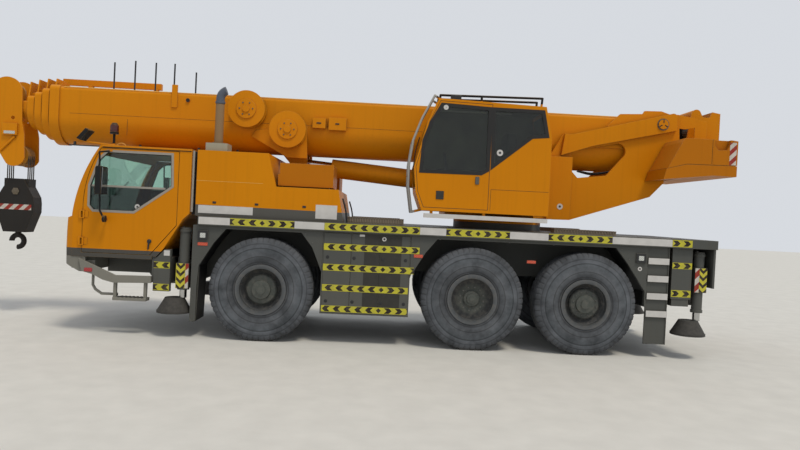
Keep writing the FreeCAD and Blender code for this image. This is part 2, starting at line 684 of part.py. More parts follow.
# Outrigger beams with their jack tubes and wrap plates, and the jack rods with their foot pads
for name, jack_x, beam_x, side, far_y in OUTRIGGERS:
    low = S.beam_low
    wrap_low = low - 100 if jack_x is S.front_jack_x else low + 180
    pieces = [
        box(name + "_arm", (beam_x - S.beam_width / 2, beam_x + S.beam_width / 2),
            span(side, S.beam_tail_gap + S.beam_wall - far_y, S.jack_y - 30), (low, beam_top)),
        cylinder(name + "_tube", "Z", (jack_x, S.jack_y * side, S.jack_low), S.jack_radius, S.jack_top - S.jack_low),
        box(name + "_wrap", (jack_x - S.wrap_half, jack_x + S.wrap_half),
            span(side, S.jack_y - S.wrap_half + 5, S.jack_y + S.wrap_half), (wrap_low, wrap_low + S.wrap_height)),
        cylinder(name + "_cap", "Z", (jack_x, S.jack_y * side, S.jack_top - 60), S.jack_radius + 12, 30),
        cylinder(name + "_gland", "Z", (jack_x, S.jack_y * side, S.jack_low), S.jack_radius + 10, 40),
    ]
    if beam_x is not jack_x:
        pieces.append(box(name + "_bracket", (jack_x, beam_x), span(side, S.jack_y - S.jack_bracket, S.jack_y),
                          (low, beam_top)))
    bore = cylinder(name + "_bore", "Z", (jack_x, S.jack_y * side, S.jack_low - 1),
                    S.jack_rod_radius + S.running_gap, S.jack_top - S.jack_low - 40)
    node(cut(name + "_beam_body", fuse(name + "_beam_whole", pieces), bore), "outrigger_beam_" + name)
    rod = cylinder(name + "_rod", "Z", (jack_x, S.jack_y * side, S.jack_rod_low), S.jack_rod_radius,
                   S.jack_top - S.jack_rod_low - 120)
    pad_x = jack_x + S.pad_shift
    pad = fuse(name + "_pad", [
        cylinder(name + "_plate", "Z", (pad_x, S.jack_y * side, S.pad_low), S.pad_radius, S.pad_rim),
        cone(name + "_cone", "Z", (pad_x, S.jack_y * side, S.pad_low + S.pad_rim),
             S.pad_radius - 5, S.jack_rod_radius * 2.6, S.jack_rod_low - S.pad_low - S.pad_rim),
    ])
    node(fuse(name + "_jack_body", [rod, pad]), "outrigger_jack_" + name)

# Deck with its edge, the tail frame behind it and the board across the tail
deck = fuse("deck_whole", [
    box("deck_plate", (S.tail_rear_x, S.deck_front_x), (-S.deck_half, S.deck_half), (deck_low, deck_top)),
    box("deck_seat", (S.frame_rear_x, S.deck_front_x), (-S.frame_half, S.frame_half), (S.frame_top, deck_low)),
    box("tail_board", (S.tail_rear_x, S.tail_rear_x + 30), (50 - S.deck_half, S.deck_half - 50),
        (S.tail_board_low, deck_low)),
])
well = cylinder("deck_well", "Z", (S.slew_x, 0, S.frame_top - 1), S.ring_radius + 10, S.deck_thick + 60)
node(cut("deck_body", deck, well), "deck")

# Side lockers between the front and the second wheels, with their doors standing a little proud
locker_y = (S.locker_face - S.locker_depth, S.locker_face - 8)
lockers = [box("locker_case", (S.locker_rear_x, S.locker_front_x), locker_y, (S.locker_low, deck_low))]
door_edges = (S.locker_rear_x + 20, S.locker_rear_x + 450, S.locker_rear_x + 860, S.locker_front_x - 20)
for index in range(3):
    lockers.append(box("locker_door_%d" % (index + 1), (door_edges[index] + 6, door_edges[index + 1] - 6),
                       (S.locker_face - 10, S.locker_face), (S.locker_low + 25, deck_low - 25)))
locker_left = fuse("lockers_left", lockers)
node(fuse("lockers_body", [locker_left, mirrored("locker_right", locker_left)]), "side_lockers")


def arch(axle_x, toward):
    """Points of a fender arch from the deck down to its foot, before the wheel (+1) or behind it (-1)."""
    return [
        (axle_x + S.arch_top_half * toward, deck_low), (axle_x + S.arch_shoulder_half * toward, S.arch_shoulder_z),
        (axle_x + S.arch_foot_half * toward, S.arch_foot_z),
    ]


def mudguard(name, points, away):
    """A bent sheet between the wheel and its fender plate, along the points; away from the wheel is +1 or -1."""
    drop = [(x + S.mudguard_thick * away, z) for x, z in reversed(points)]
    return profile(name, "XZ", (S.mudguard_y, S.locker_face - S.fender_thick), list(points) + drop)


# Fenders: plates round the wheel arches, mudguards with pressed ribs, side lamps, ladders and flaps at the rear
plate_y = (S.locker_face - S.fender_thick, S.locker_face)
post_x = S.fender_post_front_x - S.fender_post_width
front_top, front_shoulder, front_foot = arch(S.axle_1_x, 1)
behind_top, behind_shoulder, behind_foot = arch(S.axle_1_x, -1)
rear_top = (S.axle_3_x - 390, deck_low)
rear_shoulder = (S.axle_3_x - 601, S.arch_shoulder_z - 20)
rear_foot = (S.axle_3_x - 870, S.arch_foot_z - 78)
before_top, before_shoulder, before_foot = arch(S.axle_2_x, 1)
before_foot = (S.locker_rear_x - S.mudguard_thick, before_foot[1])
fender_left = [
    profile("fender_plate", "XZ", plate_y, [
        (post_x, S.fender_low), (S.fender_post_front_x, S.fender_low), (S.fender_post_front_x, deck_low),
        front_top, front_shoulder, front_foot, (post_x, S.arch_foot_z - 300),
    ]),
    mudguard("front_mudguard", [(post_x, S.fender_low), front_foot, front_shoulder, front_top], 1),
    profile("fender_plate_behind", "XZ", plate_y, [
        (S.locker_front_x, behind_foot[1]), behind_shoulder, behind_top, (S.locker_front_x, deck_low),
    ]),
    mudguard("behind_mudguard", [(S.locker_front_x + S.mudguard_thick, behind_foot[1]), behind_shoulder, behind_top],
             -1),
    profile("fender_plate_before", "XZ", plate_y, [
        before_foot, (S.locker_rear_x, S.arch_foot_z - 40), (S.locker_rear_x, deck_low), before_top, before_shoulder,
    ]),
    mudguard("before_mudguard", [before_foot, before_shoulder, before_top], 1),
    profile("fender_plate_rear", "XZ", plate_y, [
        (S.rear_flap_front_x, S.arch_foot_z - 300), (rear_foot[0], S.arch_foot_z - 300), rear_foot, rear_shoulder,
        rear_top, (S.rear_flap_front_x, deck_low),
    ]),
    mudguard("rear_mudguard", [(rear_foot[0], S.arch_foot_z - 300), rear_foot, rear_shoulder, rear_top],
             -1),
    box("guard_top", (behind_top[0] - 40, front_top[0] + 40), (S.mudguard_y, S.locker_face), (deck_low - 40, deck_low)),
    box("rear_guard_top", (rear_top[0] - 40, before_top[0] + 40), (S.mudguard_y, S.locker_face), (deck_low - 40, deck_low)),
    box("rear_flap", (S.rear_flap_rear_x, S.rear_flap_rear_x + 12), (S.mudguard_y, S.locker_face),
        (S.fender_low - 40, deck_low)),
    box("ladder_plate", (S.rear_flap_rear_x, S.rear_flap_front_x), (S.locker_face - 40, S.locker_face - 12),
        (S.fender_low - 40, deck_low)),
    box("front_lamp", (post_x - 136, post_x - 136 + S.lamp_size), (S.locker_face - 10, S.locker_face + S.lamp_out),
        (S.arch_shoulder_z + 30, S.arch_shoulder_z + 30 + S.lamp_size)),
    box("rear_lamp", (S.rear_flap_front_x + 35, S.rear_flap_front_x + 35 + S.lamp_size),
        (S.locker_face - 10, S.locker_face + S.lamp_out), (S.arch_shoulder_z, S.arch_shoulder_z + S.lamp_size)),
]
for index in range(4):
    tread_z = S.tread_low_z + S.tread_pitch * index
    fender_left.append(box("ladder_tread_%d" % (index + 1), (S.rear_flap_rear_x + 4, S.rear_flap_front_x - 4),
                           (S.locker_face - 40, S.locker_face + 14), (tread_z, tread_z + S.tread_height)))
fender = fuse("fender_left", fender_left)
node(fuse("fenders_body", [fender, mirrored("fender_right", fender)]), "fenders")

# Bumper across the nose, its side panels, the steps under the doors and the bent pipe before them
nose_corner = [
    (S.nose_corner_x, S.cab_half), (S.nose_corner_x + 80, S.cab_half - 36), (S.cab_front_x + 2, S.cab_half - 112),
    (S.cab_front_x + 2, S.cab_half + 60), (S.nose_corner_x, S.cab_half + 60),
]
bumper_corner = profile("bumper_corner", "XY", (S.bumper_low - 60, S.cab_floor_z + 1), nose_corner)
beam_x = S.nose_front_x
bumper_whole = profile("bumper_beam", "XZ", (10 - S.cab_half, S.cab_half - 10), [
    (beam_x, S.bumper_low), (S.cab_chin_x - 212, S.bumper_low), (S.cab_chin_x - 20, S.bumper_low + 100),
    (S.cab_chin_x, S.cab_floor_z), (beam_x, S.cab_floor_z),
])
step_front_x = S.cab_heel_x + 545
bumper_left = [
    profile("bumper_side", "XZ", (S.cab_half - 10, S.cab_half + 30), [
        (2753, 763), (3277, 745), (3429, 781), (3581, 855), (3732, 891), (3775, 1074), (3260, 853), (2757, 861),
    ]),
    box("step_front", (step_front_x - 40, step_front_x), (S.cab_half - 50, S.cab_half), (S.step_low, 760)),
    box("step_rear", (S.cab_heel_x + 80, S.cab_heel_x + 120), (S.cab_half - 50, S.cab_half), (S.step_low, 770)),
    box("step_tread", (S.cab_heel_x + 80, step_front_x), (S.cab_half - 150, S.cab_half + 20),
        (S.step_low, S.step_low + 43)),
    pipe("step_pipe", [
        (3600, S.cab_half - 70, S.bumper_low + 160), (3600, S.cab_half - 70, 694), (3561, S.cab_half - 70, 630),
        (3471, S.cab_half - 70, 572), (step_front_x - 20, S.cab_half - 70, 572),
    ], 19),
    box("pipe_bracket", (3580, S.nose_front_x + 20), (S.cab_half - 90, S.cab_half - 50),
        (S.bumper_low + 100, S.bumper_low + 160)),
    box("step_brace", (step_front_x - 40, step_front_x), (S.cab_half - 90, S.cab_half - 50), (552, 592)),
]
bumper = fuse("bumper_left", bumper_left)
node(fuse("bumper_body", [
    cut("bumper_front", bumper_whole, bumper_corner, mirrored("bumper_corner_right", bumper_corner)),
    bumper, mirrored("bumper_right", bumper),
]), "bumper_steps")

# Driver's cab: a hollow shell with door openings, windscreen, rear window and door windows
wall = S.cab_wall
cab_outline = [
    (S.cab_chin_x, S.cab_floor_z), (S.cab_front_x, S.cab_front_z), (S.cab_front_x - 3, S.cab_nose_z - 233),
    (S.cab_front_x - 38, S.cab_nose_z - 28), (S.cab_nose_x, S.cab_nose_z, S.screen_bow),
    (S.cab_roof_front_x, S.cab_roof_z), (S.cab_rear_x, S.cab_roof_z), (S.cab_rear_x, S.cab_arch_z),
    (S.cab_heel_x - 390, S.cab_arch_z - 85), (S.cab_heel_x - 137, S.cab_floor_z + 165),
    (S.cab_heel_x - 35, S.cab_floor_z + 42), (S.cab_heel_x + 26, S.cab_floor_z + 42),
    (S.cab_heel_x + 26, S.cab_floor_z),
]
cab_inside = [
    (S.cab_chin_x - wall * 1.2, S.cab_floor_z + wall), (S.cab_nose_x - wall, S.cab_nose_z, S.screen_bow - wall),
    (S.cab_roof_front_x - wall, S.cab_roof_z - wall), (S.cab_rear_x + wall, S.cab_roof_z - wall),
    (S.cab_rear_x + wall, S.cab_arch_z + wall * 0.5), (S.cab_heel_x - 365, S.cab_arch_z - 60),
    (S.cab_heel_x - 112, S.cab_floor_z + 190), (S.cab_heel_x + wall * 1.2, S.cab_floor_z + wall),
]
door_outline = [
    (S.door_heel_x, S.door_low_z), (S.door_front_x, S.door_low_z), (S.door_front_x, S.door_knee_z, S.door_bow),
    (S.door_top_front_x, S.door_top_z), (S.door_rear_x, S.door_top_z), (S.door_rear_x, S.door_rear_z),
]
gap = S.door_gap
door_opening = [
    (S.door_heel_x - gap, S.door_low_z - gap), (S.door_front_x + gap, S.door_low_z - gap),
    (S.door_front_x + gap, S.door_knee_z, S.door_bow + gap), (S.door_top_front_x + gap, S.door_top_z + gap),
    (S.door_rear_x - gap, S.door_top_z + gap), (S.door_rear_x - gap, S.door_rear_z - gap),
]
screen_low = S.cab_nose_z + 60
screen_top = S.cab_roof_z - 130
cab_corner = profile("cab_corner", "XY", (S.cab_floor_z - 1, S.cab_nose_z + 20), nose_corner)
shell = cut(
    "cab_shell",
    profile("cab_block", "XZ", (-S.cab_half, S.cab_half), cab_outline),
    profile("cab_cavity", "XZ", (wall - S.cab_half, S.cab_half - wall), cab_inside),
    profile("cab_doorways", "XZ", (-S.cab_half - 1, S.cab_half + 1), door_opening),
    box("windscreen_hole", (S.cab_roof_front_x - 300, S.cab_front_x), (160 - S.cab_half, S.cab_half - 160),
        (screen_low, screen_top)),
    box("rear_window_hole", (S.cab_rear_x - 1, S.cab_rear_x + wall + 1), (-600, 600),
        (S.cab_roof_z - 500, S.cab_roof_z - 120)),
    cab_corner, mirrored("cab_corner_right", cab_corner),
)
hinge_x = S.door_front_x - S.hinge_inset
hinge_y = S.cab_half + S.hinge_out
lugs = []
for hinge, z in enumerate((S.hinge_low_z, S.hinge_high_z), 1):
    lugs.append(cylinder("hinge_pin_%d" % hinge, "Z", (hinge_x, hinge_y, z - 10), S.hinge_pin_radius,
                         S.hinge_height + 20))
    for end, low in (("low", z - 12), ("top", z + S.hinge_height + S.seat_gap)):
        height = 12 - S.seat_gap
        lugs.append(cylinder("hinge_eye_%d_%s" % (hinge, end), "Z", (hinge_x, hinge_y, low), S.hinge_radius, height))
        lugs.append(box("hinge_arm_%d_%s" % (hinge, end), (hinge_x, hinge_x + 60),
                        (hinge_y - S.hinge_radius, hinge_y + S.hinge_radius), (low, low + height)))
    lugs.append(box("hinge_root_%d" % hinge, (hinge_x + 34, hinge_x + 60),
                    (S.cab_half - 10, hinge_y + S.hinge_radius), (z - 12, z + S.hinge_height + 12)))
lug_set = fuse("hinge_lugs_left", lugs)
# On the roof: gutters along both sides, the beacon, and a mirror that looks down over the nose
gutter = box("gutter_left", (S.cab_rear_x, S.cab_roof_front_x - 20), (S.cab_half - 2, S.cab_half + 14),
             (S.cab_roof_z - 28, S.cab_roof_z - 8))
beacon = fuse("beacon", [
    cylinder("beacon_stem", "Z", (S.beacon_x, S.beacon_y, S.cab_roof_z - 5), 18, 210),
    cylinder("beacon_foot", "Z", (S.beacon_x, S.beacon_y, S.cab_roof_z + 190), S.beacon_radius, 30),
    cylinder("beacon_dome", "Z", (S.beacon_x, S.beacon_y, S.cab_roof_z + 220), S.beacon_radius - 6, 100),
    cone("beacon_top", "Z", (S.beacon_x, S.beacon_y, S.cab_roof_z + 320), S.beacon_radius - 6, 32, 34),
])
front_mirror = fuse("front_mirror", [
    pipe("front_mirror_bar", [
        (S.cab_roof_front_x - 160, S.cab_half - 200, S.cab_roof_z + 8),
        (S.cab_roof_front_x + 310, S.cab_half - 200, S.cab_roof_z + 46),
        (S.cab_roof_front_x + 330, S.cab_half - 200, S.cab_roof_z + 165),
    ], 12),
    profile("front_mirror_case", "XZ", (S.cab_half - 310, S.cab_half - 110), [
        (S.cab_roof_front_x + 225, S.cab_roof_z + 205), (S.cab_roof_front_x + 350, S.cab_roof_z + 60),
        (S.cab_roof_front_x + 400, S.cab_roof_z + 85), (S.cab_roof_front_x + 275, S.cab_roof_z + 235),
    ]),
])
node(fuse("cab_shell_body", [
    shell, lug_set, mirrored("hinge_lugs_right", lug_set), gutter, mirrored("gutter_right", gutter), beacon,
    front_mirror,
]), "driver_cab_shell")

# Windows of the driver's cab: the windscreen and the rear window, each set in its opening
chord_x = number(S.cab_nose_x - S.cab_roof_front_x)
chord_z = number(S.cab_roof_z - S.cab_nose_z)
chord = math.hypot(chord_x, chord_z)
sink = math.sqrt(number(S.screen_bow) ** 2 - (chord / 2) ** 2)
bow_x = number(S.cab_roof_front_x) + chord_x / 2 - chord_z / chord * sink
bow_z = number(S.cab_nose_z) + chord_z / 2 - chord_x / chord * sink


def screen_x(z, depth):
    """Where the curved windscreen lies at a height, some depth inside of the cab's front."""
    return bow_x + math.sqrt((number(S.screen_bow) - depth) ** 2 - (number(z) - bow_z) ** 2)


glass = [
    profile("windscreen", "XZ", (160 - S.cab_half, S.cab_half - 160), [
        (screen_x(screen_low, 33), screen_low), (screen_x(screen_low, 25), screen_low, S.screen_bow - 25),
        (screen_x(screen_top, 25), screen_top), (screen_x(screen_top, 33), screen_top, 33 - S.screen_bow),
    ]),
    box("rear_window", (S.cab_rear_x + 20, S.cab_rear_x + 28), (-600, 600), (S.cab_roof_z - 500, S.cab_roof_z - 120)),
]
node(fuse("cab_glass_body", glass), "driver_cab_glass")

# Inside of the driver's cab: dashboard, two seats, steering column and wheel
dash_x = S.cab_nose_x - wall * 2.5
inside = [box("dashboard", (dash_x - 380, dash_x), (wall - S.cab_half + 40, S.cab_half - wall - 40),
              (S.cab_floor_z + wall, S.cab_nose_z - 60))]
seat_foot_x = S.cab_heel_x + wall + 10
for name, side in SIDES:
    y = 620 * side
    inside.append(box(name + "_seat_foot", (seat_foot_x, seat_foot_x + 180), (y - 120, y + 120),
                      (S.cab_floor_z + wall, S.seat_top - S.cushion_thick)))
    inside.append(box(name + "_seat_cushion", (seat_foot_x - 250, seat_foot_x + 250), (y - 240, y + 240),
                      (S.seat_top - S.cushion_thick, S.seat_top)))
    inside.append(box(name + "_seat_back", (seat_foot_x - 330, seat_foot_x - 210), (y - 230, y + 230),
                      (S.seat_top - 40, S.seat_top + 650)))
steering = doc.addObject("Part::Torus", "steering_wheel")
steering.Radius1 = 210
steering.Radius2 = 15
place(steering, dash_x - 420, 620, S.seat_top + 20, turn=Rotation(Vector(0, 1, 0), -25))
inside.append(steering)
inside.append(pipe("steering_column", [
    (dash_x - 300, 620, S.cab_nose_z - 200), (dash_x - 420, 620, S.seat_top + 20)], 26))
inside.append(box("steering_spoke", (dash_x - 430, dash_x - 410), (415, 825), (S.seat_top + 12, S.seat_top + 28)))
node(fuse("cab_inside_body", inside), "driver_cab_interior")

# Doors of the driver's cab, each with a window opening, hinge barrels and its mirrors
window_outline = [
    (3050, 1765), (3610, 1765), (3668, 1830), (3668, 2110), (3545, 2480), (3440, 2590), (2545, 2590), (2528, 2150),
    (2590, 2100),
]
for name, side in SIDES:
    face = (S.cab_half - wall, S.cab_half) if side > 0 else (-S.cab_half, wall - S.cab_half)
    hole = (face[0] - 1, face[1] + 1)
    leaf = cut(name + "_door_cut", profile(name + "_door_leaf", "XZ", face, door_outline),
               profile(name + "_door_hole", "XZ", hole, window_outline))
    barrel = []
    hinge_bores = []
    for hinge, z in enumerate((S.hinge_low_z, S.hinge_high_z), 1):
        barrel.append(cylinder("%s_hinge_%d" % (name, hinge), "Z", (hinge_x, hinge_y * side, z), S.hinge_radius,
                               S.hinge_height))
        barrel.append(box("%s_hinge_leaf_%d" % (name, hinge), (hinge_x - 60, hinge_x),
                          span(side, S.cab_half - 5, S.cab_half + 8), (z, z + S.hinge_height)))
        hinge_bores.append(cylinder("%s_hinge_bore_%d" % (name, hinge), "Z", (hinge_x, hinge_y * side, z - 1),
                                    S.hinge_pin_radius + S.running_gap, S.hinge_height + 2))
    bar_y = S.mirror_y * side
    root_y = (S.cab_half - 10) * side
    mirrors = [
        pipe(name + "_mirror_bar", [
            (S.mirror_x - 100, root_y, S.door_top_z - 30), (S.mirror_x + 16, bar_y, S.mirror_top + 205),
            (S.mirror_x - 18, bar_y, S.mirror_low - 228), (S.mirror_x - 60, bar_y - 30 * side, S.mirror_low - 330),
            (S.mirror_x - 60, root_y, S.mirror_low - 360),
        ], 13),
        profile(name + "_mirror_case", "XZ", span(side, S.mirror_y - 40, S.mirror_y + 180), [
            (S.mirror_x - 98, S.mirror_low), (S.mirror_x - 25, S.mirror_low - 6), (S.mirror_x - 8, S.mirror_low + 20),
            (S.mirror_x - 8, S.mirror_top - 20), (S.mirror_x - 25, S.mirror_top), (S.mirror_x - 82, S.mirror_top),
        ]),
        cylinder(name + "_mirror_round", "X", (S.mirror_x - 92, bar_y - 30 * side, S.mirror_low - 345), 48, 36),
    ]
    node(cut(name + "_door_body", fuse(name + "_door_whole", [leaf] + barrel + mirrors), *hinge_bores),
         "door_" + name)
    pane_y = (S.cab_half - 30, S.cab_half - 24) if side > 0 else (24 - S.cab_half, 30 - S.cab_half)
    node(profile(name + "_door_pane", "XZ", pane_y, window_outline), "door_glass_" + name)

# Engine hood with its stepped top, hollow over the engine, with a louvre grille on its right side
hood_outline = [
    (S.hood_rear_x, deck_top), (S.hood_front_x, deck_top), (S.hood_front_x, S.hood_top_z),
    (S.hood_high_rear_x, S.hood_top_z), (S.hood_step_x, S.hood_low_top_z), (S.hood_low_rear_x, S.hood_low_top_z),
]
hood_inside = [
    (S.hood_rear_x + 60, deck_top - 1), (S.hood_front_x - S.hood_wall, deck_top - 1),
    (S.hood_front_x - S.hood_wall, S.hood_top_z - S.hood_wall),
    (S.hood_high_rear_x + S.hood_wall, S.hood_top_z - S.hood_wall),
    (S.hood_step_x + S.hood_wall, S.hood_low_top_z - S.hood_wall),
    (S.hood_low_rear_x + S.hood_wall, S.hood_low_top_z - S.hood_wall),
]
hood = cut("hood_shell", profile("hood_block", "XZ", (-S.hood_half, S.hood_half), hood_outline),
           profile("hood_cavity", "XZ", (S.hood_wall - S.hood_half, S.hood_half - S.hood_wall), hood_inside))
louvres = []
for index in range(8):
    slat_z = deck_top + 180 + 60 * index
    louvres.append(profile("louvre_%d" % (index + 1), "YZ", (S.hood_high_rear_x + 120, S.hood_front_x - 120), [
        (-S.hood_half - 16, slat_z), (5 - S.hood_half, slat_z + 10), (5 - S.hood_half, slat_z + 46),
    ]))
node(fuse("hood_body", [hood] + louvres), "engine_hood")
node(box("engine", (S.hood_step_x - 460, S.hood_front_x - 290), (-400, 400), (deck_top, deck_top + 400)),
     "engine_block")

# Exhaust stack: a box on the hood, the pipe with its clamp, and the bent outlet
stack_at = (S.stack_x, S.stack_y)
bend = doc.addObject("Part::Torus", "stack_elbow")
bind(bend, "Radius1", S.stack_bend)
bind(bend, "Radius2", S.stack_radius)
bend.Angle3 = 70
place(bend, S.stack_x - S.stack_bend, S.stack_y, S.stack_top, turn=Rotation(Vector(1, 0, 0), 90))
node(fuse("stack_body", [
    box("stack_box", (S.stack_x - 165, S.stack_x + 150), (S.stack_y - 140, S.stack_y + 140),
        (S.hood_top_z, S.hood_top_z + 125)),
    cylinder("stack_pipe", "Z", (*stack_at, S.hood_top_z), S.stack_radius, S.stack_top - S.hood_top_z),
    cylinder("stack_flange", "Z", (*stack_at, S.hood_top_z + 125), S.stack_radius + 30, 18),
    cylinder("stack_clamp", "Z", (*stack_at, S.stack_top - 70), S.stack_radius + 9, 28),
    bend,
]), "exhaust_stack")

# Ballast slabs on plinth rails each side of the luffing cylinder
slabs = []
for index in range(2):
    z = S.hood_low_top_z + S.slab_plinth + index * S.slab_thick
    slabs.append(box("slab_%d" % (index + 1), (S.slab_rear_x, S.slab_front_x - index * 20),
                     (S.slab_inner_y, S.slab_outer_y), (z, z + S.slab_thick - 6 * (index + 1) + 6)))
slabs.append(box("slab_rail", (S.slab_rear_x + 60, S.slab_front_x - 60), (S.slab_inner_y + 60, S.slab_outer_y - 60),
                 (S.hood_low_top_z, S.hood_low_top_z + S.slab_plinth)))
slab_left = fuse("slabs_left", slabs)
node(fuse("slabs_body", [slab_left, mirrored("slabs_right", slab_left)]), "deck_ballast")

# Superstructure: ring, floor, two side plates with their upper arms, winch frame and the front panels
ring = cut("upper_ring", cylinder("upper_ring_disc", "Z", (S.slew_x, 0, S.ring_split + S.seat_gap), S.ring_radius,
                                  S.super_low - S.ring_split - S.seat_gap),
           cylinder("upper_ring_bore", "Z", (S.slew_x, 0, S.ring_split), S.ring_bore, S.super_low - S.ring_split))
outer_y = S.plate_inner_y + S.plate_thick
arm_y = outer_y + S.arm_out
plate_outline = [
    (-3400, S.super_low), (-3040, S.super_low), (-3040, S.panel_top), (-3240, 3285), (-3370, 3285), (-4944, 3690),
    (-5054, 3684), (-5078, 3264), (-4956, 3040), (-4858, 2603), (-4651, 2376),
]
plate_hole = [(-3953, 2677), (-3495, 2618), (-3376, 2743), (-3376, 3031), (-4095, 3185, 125), (-4212, 2990)]
arm_outline = [
    (-3686, 3119), (-3211, 2955), (-3254, 3287), (-3370, 3285), (-4930, 3688, 60), (-5000, 3640), (-5008, 3429),
]
plate_left = fuse("plate_left", [
    profile("side_plate", "XZ", (S.plate_inner_y, outer_y), plate_outline, plate_hole),
    profile("upper_arm", "XZ", (outer_y, arm_y), arm_outline),
    cylinder("pivot_cap", "Y", (S.pivot_x, arm_y, S.pivot_z), S.pivot_radius + 15, 25),
    profile("winch_cover", "XZ", (S.plate_inner_y, S.plate_inner_y + S.cover_thick), [
        (-5520, S.tail_top), (-5330, S.tail_top), (-5330, 3500), (-5180, 3470), (-5060, 3480), (-5040, 3685),
        (-5299, 3658), (-5520, 3605),
    ]),
])
pin = cylinder("pivot_pin", "Y", (S.pivot_x, -arm_y, S.pivot_z), S.pivot_radius, arm_y * 2)
foot_pin = cylinder("cylinder_foot_pin", "Y", (S.foot_pin_x, -S.plate_inner_y, S.foot_pin_z), S.foot_pin_radius,
                    S.plate_inner_y * 2)
floor = box("super_floor", (-3400, S.base_front_x), (-outer_y, outer_y), (S.super_low, S.super_low + S.floor_thick))
left_panel = box("front_panel_left", (-3390, -3022), (outer_y, arm_y), (S.super_low, S.panel_top))
right_tank = box("oil_tank", (-3000, -1600), (-1180, -outer_y), (S.super_low, 2600))
carrier_top = S.tail_top + 30
carrier = box("ballast_carrier", (S.tail_end_x - 100, -4900), (-outer_y, outer_y), (S.tail_top, carrier_top))
cheek_in = S.winch_half + 6
cheek_out = S.winch_half + 36
winch_cheeks = [
    profile("winch_cheek_" + name, "XZ", span(side, cheek_in, cheek_out), [
        (S.winch_x - 240, carrier_top), (S.winch_x + 280, carrier_top), (S.roller_x + 85, S.roller_z - 10),
        (S.roller_x + 50, S.roller_z + 50), (S.roller_x - 50, S.roller_z + 50), (S.roller_x - 105, S.roller_z - 50),
        (S.winch_x - 80, S.roller_z - 50), (S.winch_x - 123, S.roller_z + 40), (S.winch_x - 240, S.roller_z + 20),
    ]) for name, side in SIDES
]
winch_pin = cylinder("winch_pin", "Y", (S.winch_x, -cheek_out, S.winch_z), S.spindle_radius, cheek_out * 2)
winch_guard = box("winch_guard", (S.winch_x - 250, S.winch_x - 240), (-cheek_out, cheek_out),
                  (carrier_top, S.roller_z + 20))
rear_box = profile("rear_box", "XZ", (-cheek_in, cheek_in), [
    (S.winch_x - 240, S.roller_z - 50), (S.winch_x - 123, S.roller_z - 50), (S.winch_x - 123, S.roller_z + 40),
    (S.winch_x - 240, S.roller_z + 20),
])
roller = cylinder("rope_roller", "Y", (S.roller_x, -cheek_out, S.roller_z), S.roller_radius, cheek_out * 2)
node(fuse("super_body", [
    ring, plate_left, mirrored("plate_right", plate_left), pin, foot_pin, floor, left_panel, right_tank, carrier,
    winch_pin, winch_guard, rear_box, roller,
] + winch_cheeks), "superstructure_frame")

# Tail ballast: two cast layers with a seam between them, a lifting pocket and upright joints on each side
layer_top = S.tail_split - S.seam
front_x = S.tail_front_x
end_x = S.tail_end_x
side_y = S.tail_half - S.seam_depth
ballast = fuse("ballast_whole", [
    profile("ballast_low", "XZ", (-S.tail_half, S.tail_half), [
        (end_x, S.tail_low), (end_x + 340, S.tail_low + 5), (front_x + 70, S.tail_low - 85),
        (front_x + 30, S.tail_low + 74), (front_x - 264, layer_top - 8), (end_x, layer_top),
    ]),
    profile("ballast_seam", "XZ", (-side_y, side_y), [
        (end_x + S.seam_depth, layer_top - 1), (front_x - 264, layer_top - 10), (front_x + 10, S.tail_low + 77),
        (front_x, S.tail_low + 89), (front_x - 264, S.tail_split - 6), (end_x + S.seam_depth, S.tail_split + 2),
    ]),
    profile("ballast_top", "XZ", (-S.tail_half, S.tail_half), [
        (end_x, S.tail_split), (front_x - 264, S.tail_split - 8), (front_x + 13, S.tail_low + 82),
        (front_x - 185, S.tail_top - 60), (front_x - 228, S.tail_top), (end_x + 80, S.tail_top),
        (end_x, S.tail_top - 10),
    ]),
])
cuts = [box("ballast_slot", (-5085, front_x + 80), (-outer_y - 6, outer_y + 6), (S.tail_low - 90, S.tail_top + 1))]
for name, side in SIDES:
    cuts.append(profile("ballast_pocket_" + name, "XZ", span(side, S.tail_half - 80, S.tail_half + 1), [
        (-5488, 3088), (-5352, 3076), (-5296, 3139), (-5296, S.tail_top + 1), (-5530, S.tail_top + 1), (-5530, 3170),
    ]))
    for joint, x in enumerate((-5262, -5566), 1):
        cuts.append(box("ballast_joint_%s_%d" % (name, joint), (x - 3, x + 3), span(side, side_y, S.tail_half + 1),
                        (S.tail_split + 2, S.tail_top + 1)))
node(cut("ballast_body", ballast, *cuts), "tail_ballast")

# Winch drum behind the boom's foot, turning on a pin in two cheeks
drum = revolved("winch_drum_body", [
    (S.spindle_radius + S.running_gap, -S.winch_half), (S.winch_radius, -S.winch_half),
    (S.winch_radius, 25 - S.winch_half), (S.winch_radius - 60, 25 - S.winch_half),
    (S.winch_radius - 60, S.winch_half - 25), (S.winch_radius, S.winch_half - 25),
    (S.winch_radius, S.winch_half), (S.spindle_radius + S.running_gap, S.winch_half),
], S.winch_x, 0, S.winch_z, 1)
node(drum, "winch_drum")

